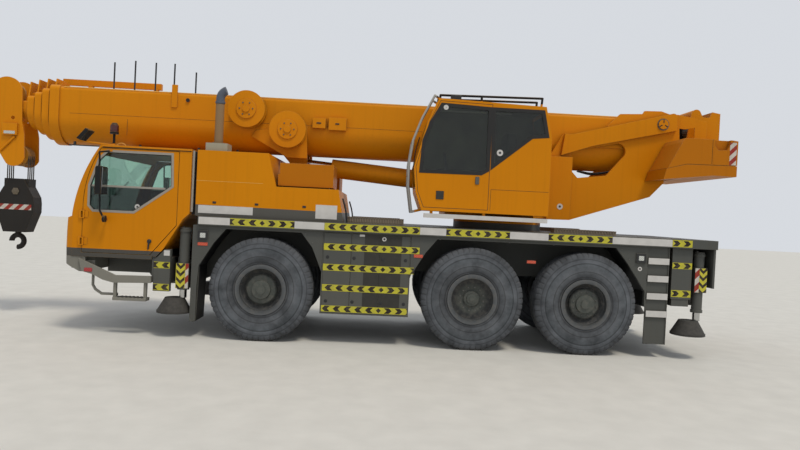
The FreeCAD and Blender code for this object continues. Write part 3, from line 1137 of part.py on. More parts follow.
# Crane cab: a hollow shell on the left of the superstructure with its window openings, guard rails before its
# front and on its roof, and a step board along its foot
cab_in = S.crane_cab_in
cab_out = S.crane_cab_out
skin = S.crane_cab_wall
shin_x = S.crane_cab_mid_x - 40
knee_x = S.crane_cab_mid_x - 168
crane_cab_outline = [
    (S.crane_cab_rear_x, S.crane_cab_low), (S.crane_cab_foot_x, S.crane_cab_low), (shin_x, S.crane_cab_shin_z),
    (S.crane_cab_mid_x, S.crane_cab_mid_z), (knee_x, S.crane_cab_knee_z),
    (S.crane_cab_top_front_x, S.crane_cab_top_z), (S.crane_cab_rear_top_x, S.crane_cab_rear_top_z),
    (S.crane_cab_rear_x, 3105),
]
crane_cab_inside = [
    (S.crane_cab_rear_x + skin, S.crane_cab_low + skin), (S.crane_cab_foot_x - skin, S.crane_cab_low + skin),
    (shin_x - skin, S.crane_cab_shin_z), (S.crane_cab_mid_x - skin, S.crane_cab_mid_z),
    (knee_x - skin, S.crane_cab_knee_z), (S.crane_cab_top_front_x - skin, S.crane_cab_top_z - skin * 1.5),
    (S.crane_cab_rear_top_x + skin, S.crane_cab_rear_top_z - skin * 1.5), (S.crane_cab_rear_x + skin, 3105),
]
door_window = [
    (-1976, 2600), (-1874, 2539), (-985, 2532), (-1011, 2987), (-1105, 3253), (-1256, 3530), (-1976, 3502),
]
rear_side_window = [(-2011, 2627), (-1996, 3503), (-2740, 3500), (-2820, 3126), (-2587, 3101)]
crane_cab = cut(
    "crane_cab_shell_cut",
    profile("crane_cab_block", "XZ", (cab_in, cab_out), crane_cab_outline),
    profile("crane_cab_cavity", "XZ", (cab_in + skin, cab_out - skin), crane_cab_inside),
    profile("crane_cab_door_hole", "XZ", (cab_out - skin - 1, cab_out + 1), door_window),
    profile("crane_cab_side_hole", "XZ", (cab_out - skin - 1, cab_out + 1), rear_side_window),
    box("crane_cab_front_hole", (-1300, S.crane_cab_mid_x + 1), (cab_in + 70, cab_out - 70), (2300, 3420)),
    box("crane_cab_roof_hole", (-1900, -1350), (cab_in + 120, cab_out - 120), (3500, 3700)),
)
rail_x = S.crane_cab_mid_x + S.rail_out
rails = [box("step_board", (S.crane_cab_rear_x + 7, S.crane_cab_foot_x - 40), (cab_out - 70, cab_out),
             (S.step_board_low, S.step_board_low + 60))]
for index, y in enumerate((cab_in + 170, cab_out - 170), 1):
    rails.append(pipe("guard_rail_%d" % index, [
        (S.crane_cab_foot_x - 25, y, S.crane_cab_low + 15), (S.crane_cab_mid_x, y, S.crane_cab_low - 28),
        (rail_x, y, S.crane_cab_shin_z + 100), (rail_x + 4, y, S.crane_cab_mid_z + 50), (rail_x - 40, y, 3000),
        (rail_x - 157, y, S.crane_cab_knee_z + 60), (S.crane_cab_top_front_x + 52, y, S.crane_cab_top_z + 63),
        (S.crane_cab_top_front_x - 75, y, S.crane_cab_top_z - 20),
    ], S.rail_radius))
for index, (x, z) in enumerate(((rail_x + 2, 2500), (rail_x - 40, 3000)), 1):
    rails.append(pipe("guard_cross_%d" % index, [(x, cab_in + 170, z), (x, cab_out - 170, z)], S.rail_radius))
roof_z = S.crane_cab_top_z + 86
for index, y in enumerate((cab_in + 170, cab_out - 250), 1):
    rails.append(pipe("roof_rail_%d" % index, [
        (-1240, y, S.crane_cab_top_z - 20), (-1250, y, roof_z), (-2760, y, roof_z + 30),
        (-2745, y, S.crane_cab_rear_top_z - 20),
    ], S.rail_radius))
    rails.append(pipe("roof_post_%d" % index, [(-1860, y, S.crane_cab_top_z - 40), (-1860, y, roof_z + 10)],
                      S.rail_radius))
for index, x in enumerate((-2700, -1960, -1200), 1):
    rails.append(box("step_post_%d" % index, (x, x + 40), (cab_out - 70, cab_out - 20),
                     (S.step_board_low + 60, S.crane_cab_low)))
node(fuse("crane_cab_body", [crane_cab] + rails), "crane_cab_shell")
node(fuse("crane_cab_panes", [
    profile("crane_cab_door_pane", "XZ", (cab_out - 20, cab_out - 14), door_window),
    profile("crane_cab_side_pane", "XZ", (cab_out - 20, cab_out - 14), rear_side_window),
    profile("crane_cab_front_pane", "XZ", (cab_in + 70, cab_out - 70), [
        (-960, 2300), (-950, 2300), (S.crane_cab_mid_x - 16, S.crane_cab_mid_z), (knee_x - 20, S.crane_cab_knee_z),
        (-1144, 3420), (-1154, 3420), (knee_x - 30, S.crane_cab_knee_z), (S.crane_cab_mid_x - 26, S.crane_cab_mid_z),
    ]),
]), "crane_cab_glass")
seat_y = (cab_in + cab_out) / 2
node(fuse("crane_cab_inside", [
    box("crane_seat_foot", (-2150, -1900), (seat_y - 130, seat_y + 130), (S.crane_cab_low + skin, 2360)),
    box("crane_seat_cushion", (-2260, -1780), (seat_y - 240, seat_y + 240), (2360, 2480)),
    box("crane_seat_back", (-2380, -2260), (seat_y - 230, seat_y + 230), (2400, 3120)),
    box("crane_seat_left_console", (-2180, -1720), (seat_y + 245, seat_y + 310), (2480, 2600)),
    box("crane_seat_right_console", (-2180, -1720), (seat_y - 310, seat_y - 245), (2480, 2600)),
    box("crane_seat_left_arm", (-2100, -2000), (seat_y + 200, seat_y + 310), (2440, 2500)),
    box("crane_seat_right_arm", (-2100, -2000), (seat_y - 310, seat_y - 200), (2440, 2500)),
]), "crane_cab_seat")

# Boom sections: index 0 is the base, 1 to 4 slide out of it. Each is smaller than the one round it.
SECTIONS = 5
# How far the upright plate on each collar stands over its section's top.
PLATE_RISE = (138, 188, 223, 240)


def tube_outline(half, low, top, corner):
    """Cross-section with a flat top, two rounded corners and a half-round bottom, from its lowest point."""
    return [
        (0, low, half), (half, low + half), (half, top - corner, corner), (half - corner, top),
        (corner - half, top, corner), (-half, top - corner), (-half, low + half, half),
    ]


def section_sizes(index):
    """Half width, bottom, top and corner radius of a section's outside."""
    return (S.boom_half - S.side_step * index, S.boom_low + S.low_step * index, S.boom_top - S.top_step * index,
            S.boom_corner - S.corner_step * index)


def grown(sizes, amount):
    """The same cross-section, larger all round."""
    half, low, top, corner = sizes
    return half + amount, low - amount, top + amount, corner + amount


def boom_section(index):
    """One tube with the collar at its front end that holds the next section, its upright plate and slide pads."""
    sizes = section_sizes(index)
    top = sizes[2]
    name = "section_%d" % index
    rear = S.boom_rear_x if index == 0 else S.inner_rear_x + S.inner_pitch * (index - 1)
    front = S.boom_front_x + S.collar_pitch * index
    outer = tube_outline(*sizes)
    inner = tube_outline(*grown(sizes, -S.boom_wall))
    tube_front = front if index < SECTIONS - 1 else S.head_front_x - 570
    pieces = [profile(name + "_tube", "YZ", (rear, tube_front), outer, inner)]
    if index < SECTIONS - 1:
        mouth = tube_outline(*grown(section_sizes(index + 1), S.seat_gap))
        start = front - (S.collar_length if index == 0 else S.collar_pitch - 30)
        pieces.append(profile(name + "_collar", "YZ", (start, front), tube_outline(*grown(sizes, S.collar_out)), mouth))
        pieces.append(profile(name + "_plate", "YZ", (front - S.collar_plate, front), [
            (-260, top - 30), (260, top - 30), (200, top + PLATE_RISE[index]), (-200, top + PLATE_RISE[index]),
        ]))
        for side_name, side in SIDES:
            pieces.append(box(name + "_pad_" + side_name, (front - 75, front - S.collar_plate), span(side, 110, 190),
                              (top + S.collar_out - 5, top + S.collar_out + 50)))
    return name, pieces


def boom_foot(name, side_name, side):
    """The base section's ear round the pivot pin and its lug beside the luffing cylinder's rod, on one side."""
    ear_y = S.plate_inner_y - S.ear_gap
    lug_y = S.rod_radius + S.lug_gap
    pivot = S.pivot_x
    return [
        profile(name + "_ear_" + side_name, "XZ", span(side, ear_y - S.ear_thick, ear_y), [
            (pivot - 150, S.pivot_z - 110), (pivot + 380, S.boom_low + 350), (pivot + 980, S.boom_low + 350),
            (pivot + 813, S.boom_top - 155), (pivot + 628, S.boom_top + 32), (pivot + 269, S.boom_top + 51),
            (pivot + 239, S.boom_top + 101), (pivot - 23, S.boom_top + 108), (pivot - 150, S.boom_top + 70),
        ]),
        profile(name + "_lug_" + side_name, "XZ", span(side, lug_y, lug_y + S.lug_thick), [
            (S.eye_x - 130, S.eye_z - 60), (S.eye_x + 90, S.eye_z - 60), (S.eye_x + 260, S.boom_low + 2),
            (S.eye_x + 260, S.boom_low + 30), (S.eye_x - 130, S.boom_low + 30),
        ]),
        profile(name + "_bracket_" + side_name, "XZ", span(side, S.boom_half - 5, S.boom_half + S.bracket_thick), [
            (726, S.boom_low - 60), (1035, S.boom_low - 60), (1594, 3004), (1527, 3103), (752, 3216),
        ]),
    ]


def boom_fittings(name):
    """Hose reels, junction boxes and caps on the base section's left side, and the square bar over its right."""
    face = S.boom_half
    pieces = []
    for reel, (x, z) in enumerate(((1663, 3404), (1026, 3125)), 1):
        rim = S.reel_radius
        for part, radius, y, thick in (
                ("shaft", rim * 0.25, face - 5, 40), ("inner_disc", rim, face + 32, 14),
                ("drum", rim * 0.68, face + 46, 142), ("outer_disc", rim, face + 188, 14),
                ("hub", rim * 0.53, face + 202, 18), ("nut", rim * 0.2, face + 220, 16)):
            pieces.append(cylinder("%s_reel_%d_%s" % (name, reel, part), "Y", (x, y, z), radius, thick))
    pieces += [
        box(name + "_box_1", (461, 662), (face - 5, face + 80), (3184, 3338)),
        box(name + "_box_2", (143, 413), (face - 5, face + 80), (3165, 3355)),
        cylinder(name + "_cap", "Y", (2601, face - 5, 3511), 30, 25),
        box(name + "_edge_bracket", (2765, 2850), (face - 5, face + 20), (3390, 3738)),
        box(name + "_bar", (3283, S.boom_front_x + 188), (-S.rail_y - 40, 40 - S.rail_y), (3780, 3880)),
    ]
    for post, x in enumerate((3330, 4400), 1):
        pieces.append(box("%s_bar_post_%d" % (name, post), (x, x + 60), (-S.rail_y - 20, 5 - face), (3420, 3790)))
    return pieces


def boom_head(name):
    """The head's two plates with rounded ends, their pins and cross tubes, the lamp box and the guard bar."""
    half = section_sizes(SECTIONS - 1)[0]
    low = S.low_guard
    top = S.top_guard
    front = S.head_front_x
    outline = [
        (S.sheave_x - low * 0.9397, S.sheave_z - low * 0.342, low),
        (S.sheave_x + low * 0.6428, S.sheave_z - low * 0.766), (front - 260, 2640), (front, 2900), (front, 3400),
        (S.top_sheave_x + top * 0.9397, S.top_sheave_z + top * 0.342, top),
        (S.top_sheave_x - top * 0.9848, S.top_sheave_z + top * 0.1736), (5195, 3343), (5190, 3069), (5150, 2865),
    ]
    width = half + S.head_plate_thick
    pieces = [
        profile(name + "_bulkhead", "YZ", (front - 570, front - 550), tube_outline(*section_sizes(SECTIONS - 1))),
        box(name + "_lamp_box", (5243, 5470), (width - 5, width + 40), (2850, 3030)),
        pipe(name + "_guard", [(5284, width + 11, 2830), (5500, width + 11, 2600)], 18),
    ]
    for side_name, side in SIDES:
        pieces.append(profile(name + "_plate_" + side_name, "XZ", span(side, half, width), outline))
    for part, x, z, radius in (("low_pin", S.sheave_x, S.sheave_z, S.sheave_pin),
                               ("top_pin", S.top_sheave_x, S.top_sheave_z, S.sheave_pin),
                               ("cross_low", front - 110, 2900, 30), ("cross_top", front - 90, 3330, 30)):
        pieces.append(cylinder("%s_%s" % (name, part), "Y", (x, -width, z), radius, width * 2))
    holes = [
        cylinder("%s_jib_hole_%d" % (name, hole), "Y", (x, -width - 1, S.jib_pin_z), S.jib_pin_radius,
                 width * 2 + 2) for hole, x in enumerate((S.jib_pin_front_x, S.jib_pin_rear_x), 1)
    ]
    return pieces, holes


for index in range(SECTIONS):
    name, pieces = boom_section(index)
    if index == 0:
        for side_name, side in SIDES:
            pieces += boom_foot(name, side_name, side)
        pieces += boom_fittings(name)
        bore = cylinder(name + "_pivot_bore", "Y", (S.pivot_x, -S.plate_inner_y, S.pivot_z),
                        S.pivot_radius + S.running_gap, S.plate_inner_y * 2)
        node(cut(name + "_body", fuse(name + "_whole", pieces), bore), "boom_base")
    elif index < SECTIONS - 1:
        node(fuse(name + "_body", pieces), "boom_section_%d" % index)
    else:
        head, holes = boom_head(name)
        node(cut(name + "_body", fuse(name + "_whole", pieces + head), *holes), "boom_section_%d" % index)

# Thin rods that stand on the boom's top, near its left edge
rods = [cylinder("boom_rod_%d" % index, "Z", (x, S.boom_half - 80, S.boom_top), S.rod_radius_top, top - S.boom_top)
        for index, (x, top) in enumerate(((3774, 4050), (3456, 4091), (3139, 4078), (2850, 4079), (2516, 3963)), 1)]
node(fuse("boom_rods_body", rods), "boom_rods")


def sheave(name, x, y, z, radius):
    """A grooved rope sheave on its pin."""
    half = S.sheave_width / 2
    return revolved(name, [
        (S.sheave_pin, -half), (radius, -half), (radius, 6 - half), (radius - S.sheave_groove, -6),
        (radius - S.sheave_groove, 6), (radius, half - 6), (radius, half), (S.sheave_pin, half),
    ], x, y, z, 1)


# Sheaves of the boom head
sheaves = [sheave("sheave_%d" % index, S.sheave_x, S.sheave_pitch * (index - 1.5), S.sheave_z, S.sheave_radius)
           for index in range(4)]
sheaves.append(sheave("top_sheave", S.top_sheave_x, 0, S.top_sheave_z, S.top_sheave_radius))
node(fuse("sheaves_body", sheaves), "head_sheaves")

# Luffing cylinder: barrel on its foot pin, rod with the eye that drives the boom
run_x = S.eye_x - S.foot_pin_x
run_z = S.eye_z - S.foot_pin_z
run = run_x.across(run_z)
along = Rotation(Vector(0, 0, 1), Vector(number(run_x), 0, number(run_z)))


def on_cylinder(name, radius, start, length):
    """A cylinder on the luffing cylinder's axis, some way from the foot pin."""
    bar = doc.addObject("Part::Cylinder", name)
    bind(bar, "Radius", radius)
    bind(bar, "Height", length)
    return place(bar, S.foot_pin_x + run_x / run * start, 0, S.foot_pin_z + run_z / run * start, turn=along)


barrel_length = run - S.gland_gap
barrel = fuse("luff_barrel_whole", [
    on_cylinder("luff_tube", S.barrel_radius, 100, barrel_length - 100),
    cylinder("luff_foot", "Y", (S.foot_pin_x, -S.eye_half, S.foot_pin_z), S.eye_radius, S.eye_half * 2),
])
barrel = cut("luff_barrel_cut", barrel,
             on_cylinder("luff_bore", S.rod_radius + S.running_gap, 300, barrel_length),
             cylinder("luff_foot_bore", "Y", (S.foot_pin_x, -S.eye_half - 1, S.foot_pin_z),
                      S.foot_pin_radius + S.running_gap, S.eye_half * 2 + 2))
node(barrel, "luffing_cylinder_barrel")
rod = fuse("luff_rod_whole", [
    on_cylinder("luff_rod_bar", S.rod_radius, S.rod_tail, run - S.rod_tail),
    cylinder("luff_eye", "Y", (S.eye_x, -S.eye_half, S.eye_z), S.eye_radius, S.eye_half * 2),
])
node(cut("luff_rod_cut", rod, cylinder("luff_eye_bore", "Y", (S.eye_x, -S.eye_half - 1, S.eye_z),
                                       S.foot_pin_radius, S.eye_half * 2 + 2)), "luffing_cylinder_rod")

# Hoist ropes between the head sheaves and the hook block, and the hook block
ropes = []
rope_x = S.sheave_radius - S.sheave_groove + S.rope_radius
for index in range(4):
    y = S.sheave_pitch * (index - 1.5)
    for end, sign in (("rear", -1), ("front", 1)):
        x = S.sheave_x + (rope_x + S.seat_gap) * sign
        ropes.append(cylinder("rope_%d_%s" % (index, end), "Z", (x, y, S.hook_top + S.seat_gap), S.rope_radius,
                              S.sheave_z - S.hook_top - S.seat_gap))
node(fuse("ropes_body", ropes), "hoist_ropes")
mid = S.sheave_x
waist_top = S.hook_waist_top
cheek = [
    (mid - 175, S.hook_low), (mid + 175, S.hook_low), (mid + S.hook_half, S.hook_waist_low),
    (mid + S.hook_half, waist_top), (mid + S.hook_half - 12, waist_top + 90),
    (mid + S.hook_shoulder_half, S.hook_shoulder_z), (mid + 110, S.hook_top), (mid - 110, S.hook_top),
    (mid - S.hook_shoulder_half, S.hook_shoulder_z), (mid - S.hook_half + 12, waist_top + 90),
    (mid - S.hook_half, waist_top), (mid - S.hook_half, S.hook_waist_low),
]
block = profile("hook_cheeks", "XZ", (S.hook_thick / -2, S.hook_thick / 2), cheek)
shank_low = S.hook_bow_z + S.hook_bow
shank = cylinder("hook_shank", "Z", (mid, 0, shank_low), S.shank_radius, S.hook_low - shank_low)
hook_ring = doc.addObject("Part::Torus", "hook_ring")
bind(hook_ring, "Radius1", S.hook_bow)
bind(hook_ring, "Radius2", S.hook_bow_thick)
hook_ring.Angle3 = 270
place(hook_ring, mid, 0, S.hook_bow_z, turn=Rotation(Vector(1, 0, 0), 90))
rope_tops = [
    box("hook_rope_top_%s" % end, (mid + rope_x * sign - 30, mid + rope_x * sign + 30), (-110, 110),
        (2050, S.hook_top)) for end, sign in (("rear", -1), ("front", 1))
]
node(fuse("hook_body", [block, shank, hook_ring] + rope_tops), "hook_block")

doc.recompute()
bad = [thing.Name for thing in doc.Objects if "Invalid" in thing.State or "Error" in thing.State]
if bad:
    raise RuntimeError("Objects that failed: %s" % ", ".join(bad))
for piece in NODES:
    if piece.Shape.isNull() or not piece.Shape.isValid() or not piece.Shape.Solids:
        raise RuntimeError("%s has no valid solid" % piece.Label)
os.makedirs("parts", exist_ok=True)
for piece in NODES:
    piece.Shape.exportStep("parts/%s.step" % piece.Label)
for piece in NODES:
    print("%-28s %2d solids" % (piece.Label, len(piece.Shape.Solids)))
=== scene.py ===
"""Looks of a three-axle mobile crane in road travel trim: finishes, markings and fine pieces on its CAD frame."""
import math

import bmesh
import bpy
import numpy as np
from mathutils import Matrix


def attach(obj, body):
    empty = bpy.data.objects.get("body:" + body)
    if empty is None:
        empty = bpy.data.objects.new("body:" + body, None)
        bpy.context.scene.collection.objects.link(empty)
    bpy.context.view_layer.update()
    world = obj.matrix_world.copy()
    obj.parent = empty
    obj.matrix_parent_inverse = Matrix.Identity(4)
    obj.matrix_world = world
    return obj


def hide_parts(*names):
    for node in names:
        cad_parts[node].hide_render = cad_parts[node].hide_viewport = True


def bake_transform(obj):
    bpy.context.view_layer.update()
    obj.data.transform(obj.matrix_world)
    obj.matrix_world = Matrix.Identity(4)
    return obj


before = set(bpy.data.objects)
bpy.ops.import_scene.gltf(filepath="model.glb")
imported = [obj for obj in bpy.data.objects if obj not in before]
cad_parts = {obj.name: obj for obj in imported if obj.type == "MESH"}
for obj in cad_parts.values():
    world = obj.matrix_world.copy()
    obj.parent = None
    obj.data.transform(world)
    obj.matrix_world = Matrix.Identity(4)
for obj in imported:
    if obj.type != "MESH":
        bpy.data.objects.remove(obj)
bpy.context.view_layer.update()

# The yard: a pale concrete floor under a hazy sky, with the sun high behind the camera's left shoulder.
# The camera stands off the crane's left side at eye height, turned and tilted as the photograph was taken.


def linear(code):
    """An sRGB hex colour as linear RGBA: c / 12.92 up to 0.04045, else ((c + 0.055) / 1.055) ** 2.4."""
    channels = [int(code[index:index + 2], 16) / 255 for index in (1, 3, 5)]
    return [c / 12.92 if c <= 0.04045 else ((c + 0.055) / 1.055) ** 2.4 for c in channels] + [1.0]


def add(tree, kind, inputs=None, **settings):
    """Add one shader node: settings are its own properties, inputs are values or sockets by name or number."""
    node = tree.nodes.new(kind)
    for key, value in settings.items():
        setattr(node, key, value)
    for key, value in (inputs or {}).items():
        if isinstance(value, bpy.types.NodeSocket):
            tree.links.new(value, node.inputs[key])
        else:
            node.inputs[key].default_value = value
    return node


def mix(tree, share, first, second, blend="MIX"):
    """The socket of a colour mix by share; first and second are sRGB codes or sockets."""
    ends = [linear(end) if isinstance(end, str) else end for end in (first, second)]
    return add(tree, "ShaderNodeMix", {0: share, 6: ends[0], 7: ends[1]}, data_type="RGBA",
               blend_type=blend).outputs[2]


def noise(tree, place, scale, detail, roughness=0.5):
    """The value socket of fractal noise whose patches are about one over scale metres wide."""
    return add(tree, "ShaderNodeTexNoise", {"Vector": place, "Scale": scale, "Detail": detail,
                                            "Roughness": roughness}).outputs[0]


def remap(tree, value, start, end, low, high):
    """The socket of a value whose run from start to end becomes low to high, and stops there."""
    return add(tree, "ShaderNodeMapRange", {"Value": value, "From Min": start, "From Max": end,
                                            "To Min": low, "To Max": high}).outputs[0]


def maths(tree, operation, *values):
    """The socket of one sum on values or sockets."""
    return add(tree, "ShaderNodeMath", dict(enumerate(values)), operation=operation).outputs[0]


def blank(name):
    """A new material, its emptied tree, and the socket of the object's own place in metres."""
    material = bpy.data.materials.new(name)
    material.use_nodes = True
    tree = material.node_tree
    tree.nodes.clear()
    return material, tree, add(tree, "ShaderNodeTexCoord").outputs["Object"]


def close(material, inputs):
    """Give a material its one surface with these inputs."""
    surface = add(material.node_tree, "ShaderNodeBsdfPrincipled", inputs)
    add(material.node_tree, "ShaderNodeOutputMaterial", {0: surface.outputs[0]})
    return material


def concrete_floor():
    """Power-floated concrete: mottled in patches of about 300 mm, dull."""
    material, tree, place = blank("pale_concrete_floor")
    shade = mix(tree, noise(tree, place, 3.0, 6.0), "#C9C8C3", "#DEDDD8")
    return close(material, {"Base Color": shade, "Roughness": 0.85})


FLOOR_REACH = 60.0
floor_mesh = bpy.data.meshes.new("floor")
floor_mesh.from_pydata([(FLOOR_REACH * x, FLOOR_REACH * y, 0) for x, y in ((-1, -1), (1, -1), (1, 1), (-1, 1))],
                       [], [(0, 1, 2, 3)])
floor = bpy.data.objects.new("floor", floor_mesh)
bpy.context.collection.objects.link(floor)
floor.data.materials.append(concrete_floor())

SKY_LIGHT = 0.62
SKY_SEEN = 0.8
world = bpy.data.worlds.new("hazy_sky")
bpy.context.scene.world = world
world.use_nodes = True
world.node_tree.nodes.clear()
rays = add(world.node_tree, "ShaderNodeLightPath").outputs
seen = maths(world.node_tree, "MAXIMUM", rays["Is Camera Ray"], rays["Is Glossy Ray"])
seen = maths(world.node_tree, "MAXIMUM", seen, rays["Is Transmission Ray"])
sky = add(world.node_tree, "ShaderNodeBackground", {
    "Color": linear("#EDF1F7"), "Strength": remap(world.node_tree, seen, 0.0, 1.0, SKY_LIGHT, SKY_SEEN)})
add(world.node_tree, "ShaderNodeOutputWorld", {0: sky.outputs[0]})

SUN_LIGHT = 1.5
SUN_SOFTNESS = math.radians(14)
SUN_LEAN = (math.radians(-22), math.radians(-16), 0)
sun = bpy.data.lights.new("hazy_sun", "SUN")
sun.energy = SUN_LIGHT
sun.angle = SUN_SOFTNESS
sun.color = linear("#FFF6E6")[:3]
sun_object = bpy.data.objects.new("hazy_sun", sun)
sun_object.rotation_euler = SUN_LEAN
bpy.context.collection.objects.link(sun_object)

CAMERA_PLACE = (-0.4265, 10.8223, 1.8981)
CAMERA_YAW = 0.0328
CAMERA_PITCH = 0.0146
CAMERA_ROLL = 0.0494
CAMERA_LENS = 29.99
CAMERA_SENSOR = 36.0
ahead, right, up = np.array([0, -1, 0]), np.array([-1, 0, 0]), np.array([0, 0, 1])
ahead, right = (math.cos(CAMERA_YAW) * ahead + math.sin(CAMERA_YAW) * right,
                math.cos(CAMERA_YAW) * right - math.sin(CAMERA_YAW) * ahead)
ahead, up = (math.cos(CAMERA_PITCH) * ahead - math.sin(CAMERA_PITCH) * up,
             math.cos(CAMERA_PITCH) * up + math.sin(CAMERA_PITCH) * ahead)
right, up = (math.cos(CAMERA_ROLL) * right + math.sin(CAMERA_ROLL) * up,
             math.cos(CAMERA_ROLL) * up - math.sin(CAMERA_ROLL) * right)
camera = bpy.data.cameras.new("camera")
camera.lens = CAMERA_LENS
camera.sensor_width = CAMERA_SENSOR
camera_object = bpy.data.objects.new("camera", camera)
turn = Matrix(np.array([right, up, -ahead]).T.tolist()).to_4x4()
camera_object.matrix_world = Matrix.Translation(CAMERA_PLACE) @ turn
bpy.context.collection.objects.link(camera_object)
bpy.context.scene.camera = camera_object
bpy.context.scene.view_settings.view_transform = "Standard"

# Carrier frame: welded box sections of high-strength plate, blasted, primed and sprayed a dark grey enamel
# that keeps road dust low down and grime in its corners, where painted shade darkens it too.


def raised(tree, height, distance, strength, **normal):
    """The normal socket of a bump that stands up to a distance in metres."""
    return add(tree, "ShaderNodeBump", {"Height": height, "Distance": distance, "Strength": strength,
                                        **normal}).outputs[0]


def painted_steel(name, paint, faded, dust, splash_top=0.0, band=None, worn="#8F8B80", parts_of=()):
    """Sprayed enamel: fade patches of 900 mm, run-off streaks 60 mm apart, orange peel drawn at 15 mm.

    Grime and painted shade lie in corners, darkened by ambient occlusion; dust on what faces up and below
    splash_top, and edges are rubbed to the worn colour.
    A band is (height, rise per metre forward, colour): below that sloping line the second colour is sprayed on.
    parts_of lists bought-in parts in the same node, each (x, |y| and z factors, limit, colour): a point whose
    weighted sum passes the limit has that colour."""
    material, tree, place = blank(name)
    x, y, z = add(tree, "ShaderNodeSeparateXYZ", {"Vector": place}).outputs
    colour = mix(tree, noise(tree, place, 1.1, 3.0), paint, faded)
    if band:
        height, rise, below = band
        line = maths(tree, "MULTIPLY_ADD", x, rise, height)
        colour = mix(tree, maths(tree, "LESS_THAN", z, line), colour, below)
    folded = add(tree, "ShaderNodeCombineXYZ", {"X": x, "Y": maths(tree, "ABSOLUTE", y), "Z": z}).outputs[0]
    for weights, limit, code in parts_of:
        reach = add(tree, "ShaderNodeVectorMath", {0: folded, 1: weights}, operation="DOT_PRODUCT")
        colour = mix(tree, maths(tree, "GREATER_THAN", reach.outputs["Value"], limit), colour, code)
    tall = add(tree, "ShaderNodeMapping", {"Vector": place, "Scale": (22.0, 22.0, 0.7)}).outputs[0]
    streaks = remap(tree, noise(tree, tall, 1.0, 4.0), 0.52, 0.85, 0.0, 0.10)
    colour = mix(tree, streaks, colour, "#4E3510")
    # Painted shade with grime: ambient occlusion darkens corners and crevices towards a dark brown.
    corners = add(tree, "ShaderNodeAmbientOcclusion", {"Distance": 0.12}, samples=6).outputs["AO"]
    colour = mix(tree, remap(tree, corners, 0.75, 0.2, 0.0, 0.5), colour, "#33281A")
    normal = add(tree, "ShaderNodeNewGeometry").outputs["Normal"]
    facing_up = add(tree, "ShaderNodeSeparateXYZ", {"Vector": normal}).outputs["Z"]
    settled = maths(tree, "MAXIMUM", remap(tree, facing_up, 0.3, 0.95, 0.0, 0.42),
                    remap(tree, z, splash_top, 0.3, 0.0, 0.24 if splash_top else 0.0))
    dirt = noise(tree, place, 7.0, 8.0, 0.65)
    colour = mix(tree, maths(tree, "MULTIPLY", settled, dirt), colour, dust)
    rounded = add(tree, "ShaderNodeBevel", {"Radius": 0.006}, samples=4).outputs[0]
    kept = add(tree, "ShaderNodeVectorMath", {0: rounded, 1: normal}, operation="DOT_PRODUCT").outputs["Value"]
    rubbed = remap(tree, kept, 0.985, 0.86, 0.0, 0.8)
    colour = mix(tree, maths(tree, "MULTIPLY", rubbed, dirt), colour, worn)
    peel = raised(tree, noise(tree, place, 65.0, 2.0), 0.0015, 0.25, Normal=rounded)
    return close(material, {"Base Color": colour, "Roughness": remap(tree, dirt, 0.0, 1.0, 0.34, 0.6),
                            "Normal": peel, "IOR": 1.5, "Specular IOR Level": 0.12})


def dress(material, *names):
    """Give CAD nodes their finish."""
    for name in names:
        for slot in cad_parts[name].material_slots:
            slot.material = material


def nodes(start):
    """The CAD nodes whose names begin so."""
    return [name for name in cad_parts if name.startswith(start)]


GREY = ("#515350", "#5A5B58")
ORANGE = ("#D78704", "#CC7D05", "#D9A75A")
RUBBED_ORANGE = "#E3B262"
SPLASH_TOP = 1.3
grey_enamel = painted_steel("grey_enamel_on_steel", *GREY, "#8C877C", SPLASH_TOP)
black_enamel = painted_steel("black_chassis_enamel", "#262626", "#2E2D2C", "#6E6A61", SPLASH_TOP)
orange_enamel = painted_steel("orange_enamel_on_steel", *ORANGE, worn=RUBBED_ORANGE)
dress(orange_enamel, *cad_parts)
dress(grey_enamel, "chassis_frame", "deck", *nodes("outrigger_"))

# Wheels: earthmover-size single tyres on steel disc rims, the rear two axles with big planetary hubs.
# The tyres are moulded rubber, greyed by dust; the rims are sprayed grey with black brake dust round the hub.

AXLES = {"front": 1.2, "mid": -1.83, "rear": -3.48}
AXLE_HEIGHT = 0.74
TYRE_MIDDLE = 1.09
SIDES = (("left", 1), ("right", -1))


def put(name, body, finish, *shells, smooth=32.0, bevel=0.0, flat=None):
    """Join closed shells, each (points, faces), into one piece on a body. Normals are turned outward.

    flat is a function from the points to UV, for a pattern that follows the piece."""
    points = np.concatenate([shell[0] for shell in shells])
    starts = np.cumsum([0] + [len(shell[0]) for shell in shells[:-1]])
    faces = [[corner + start for corner in face] for start, shell in zip(starts.tolist(), shells)
             for face in shell[1]]
    mesh = bpy.data.meshes.new(name)
    mesh.from_pydata(points.tolist(), [], faces)
    solid = bmesh.new()
    solid.from_mesh(mesh)
    bmesh.ops.recalc_face_normals(solid, faces=solid.faces)
    solid.to_mesh(mesh)
    solid.free()
    mesh.shade_smooth()
    mesh.set_sharp_from_angle(angle=math.radians(smooth))
    mesh.materials.append(finish)
    if flat:
        corners = np.empty(len(mesh.loops), dtype=np.int32)
        mesh.loops.foreach_get("vertex_index", corners)
        layer = mesh.uv_layers.new(name="flat")
        layer.data.foreach_set("uv", flat(points)[corners].astype(np.float32).ravel())
    piece = bpy.data.objects.new(name, mesh)
    bpy.context.collection.objects.link(piece)
    if bevel:
        edge = piece.modifiers.new("broken_edge", "BEVEL")
        edge.width = bevel
        edge.segments = 2
        edge.limit_method = "ANGLE"
    if body:
        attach(piece, body)
    return piece


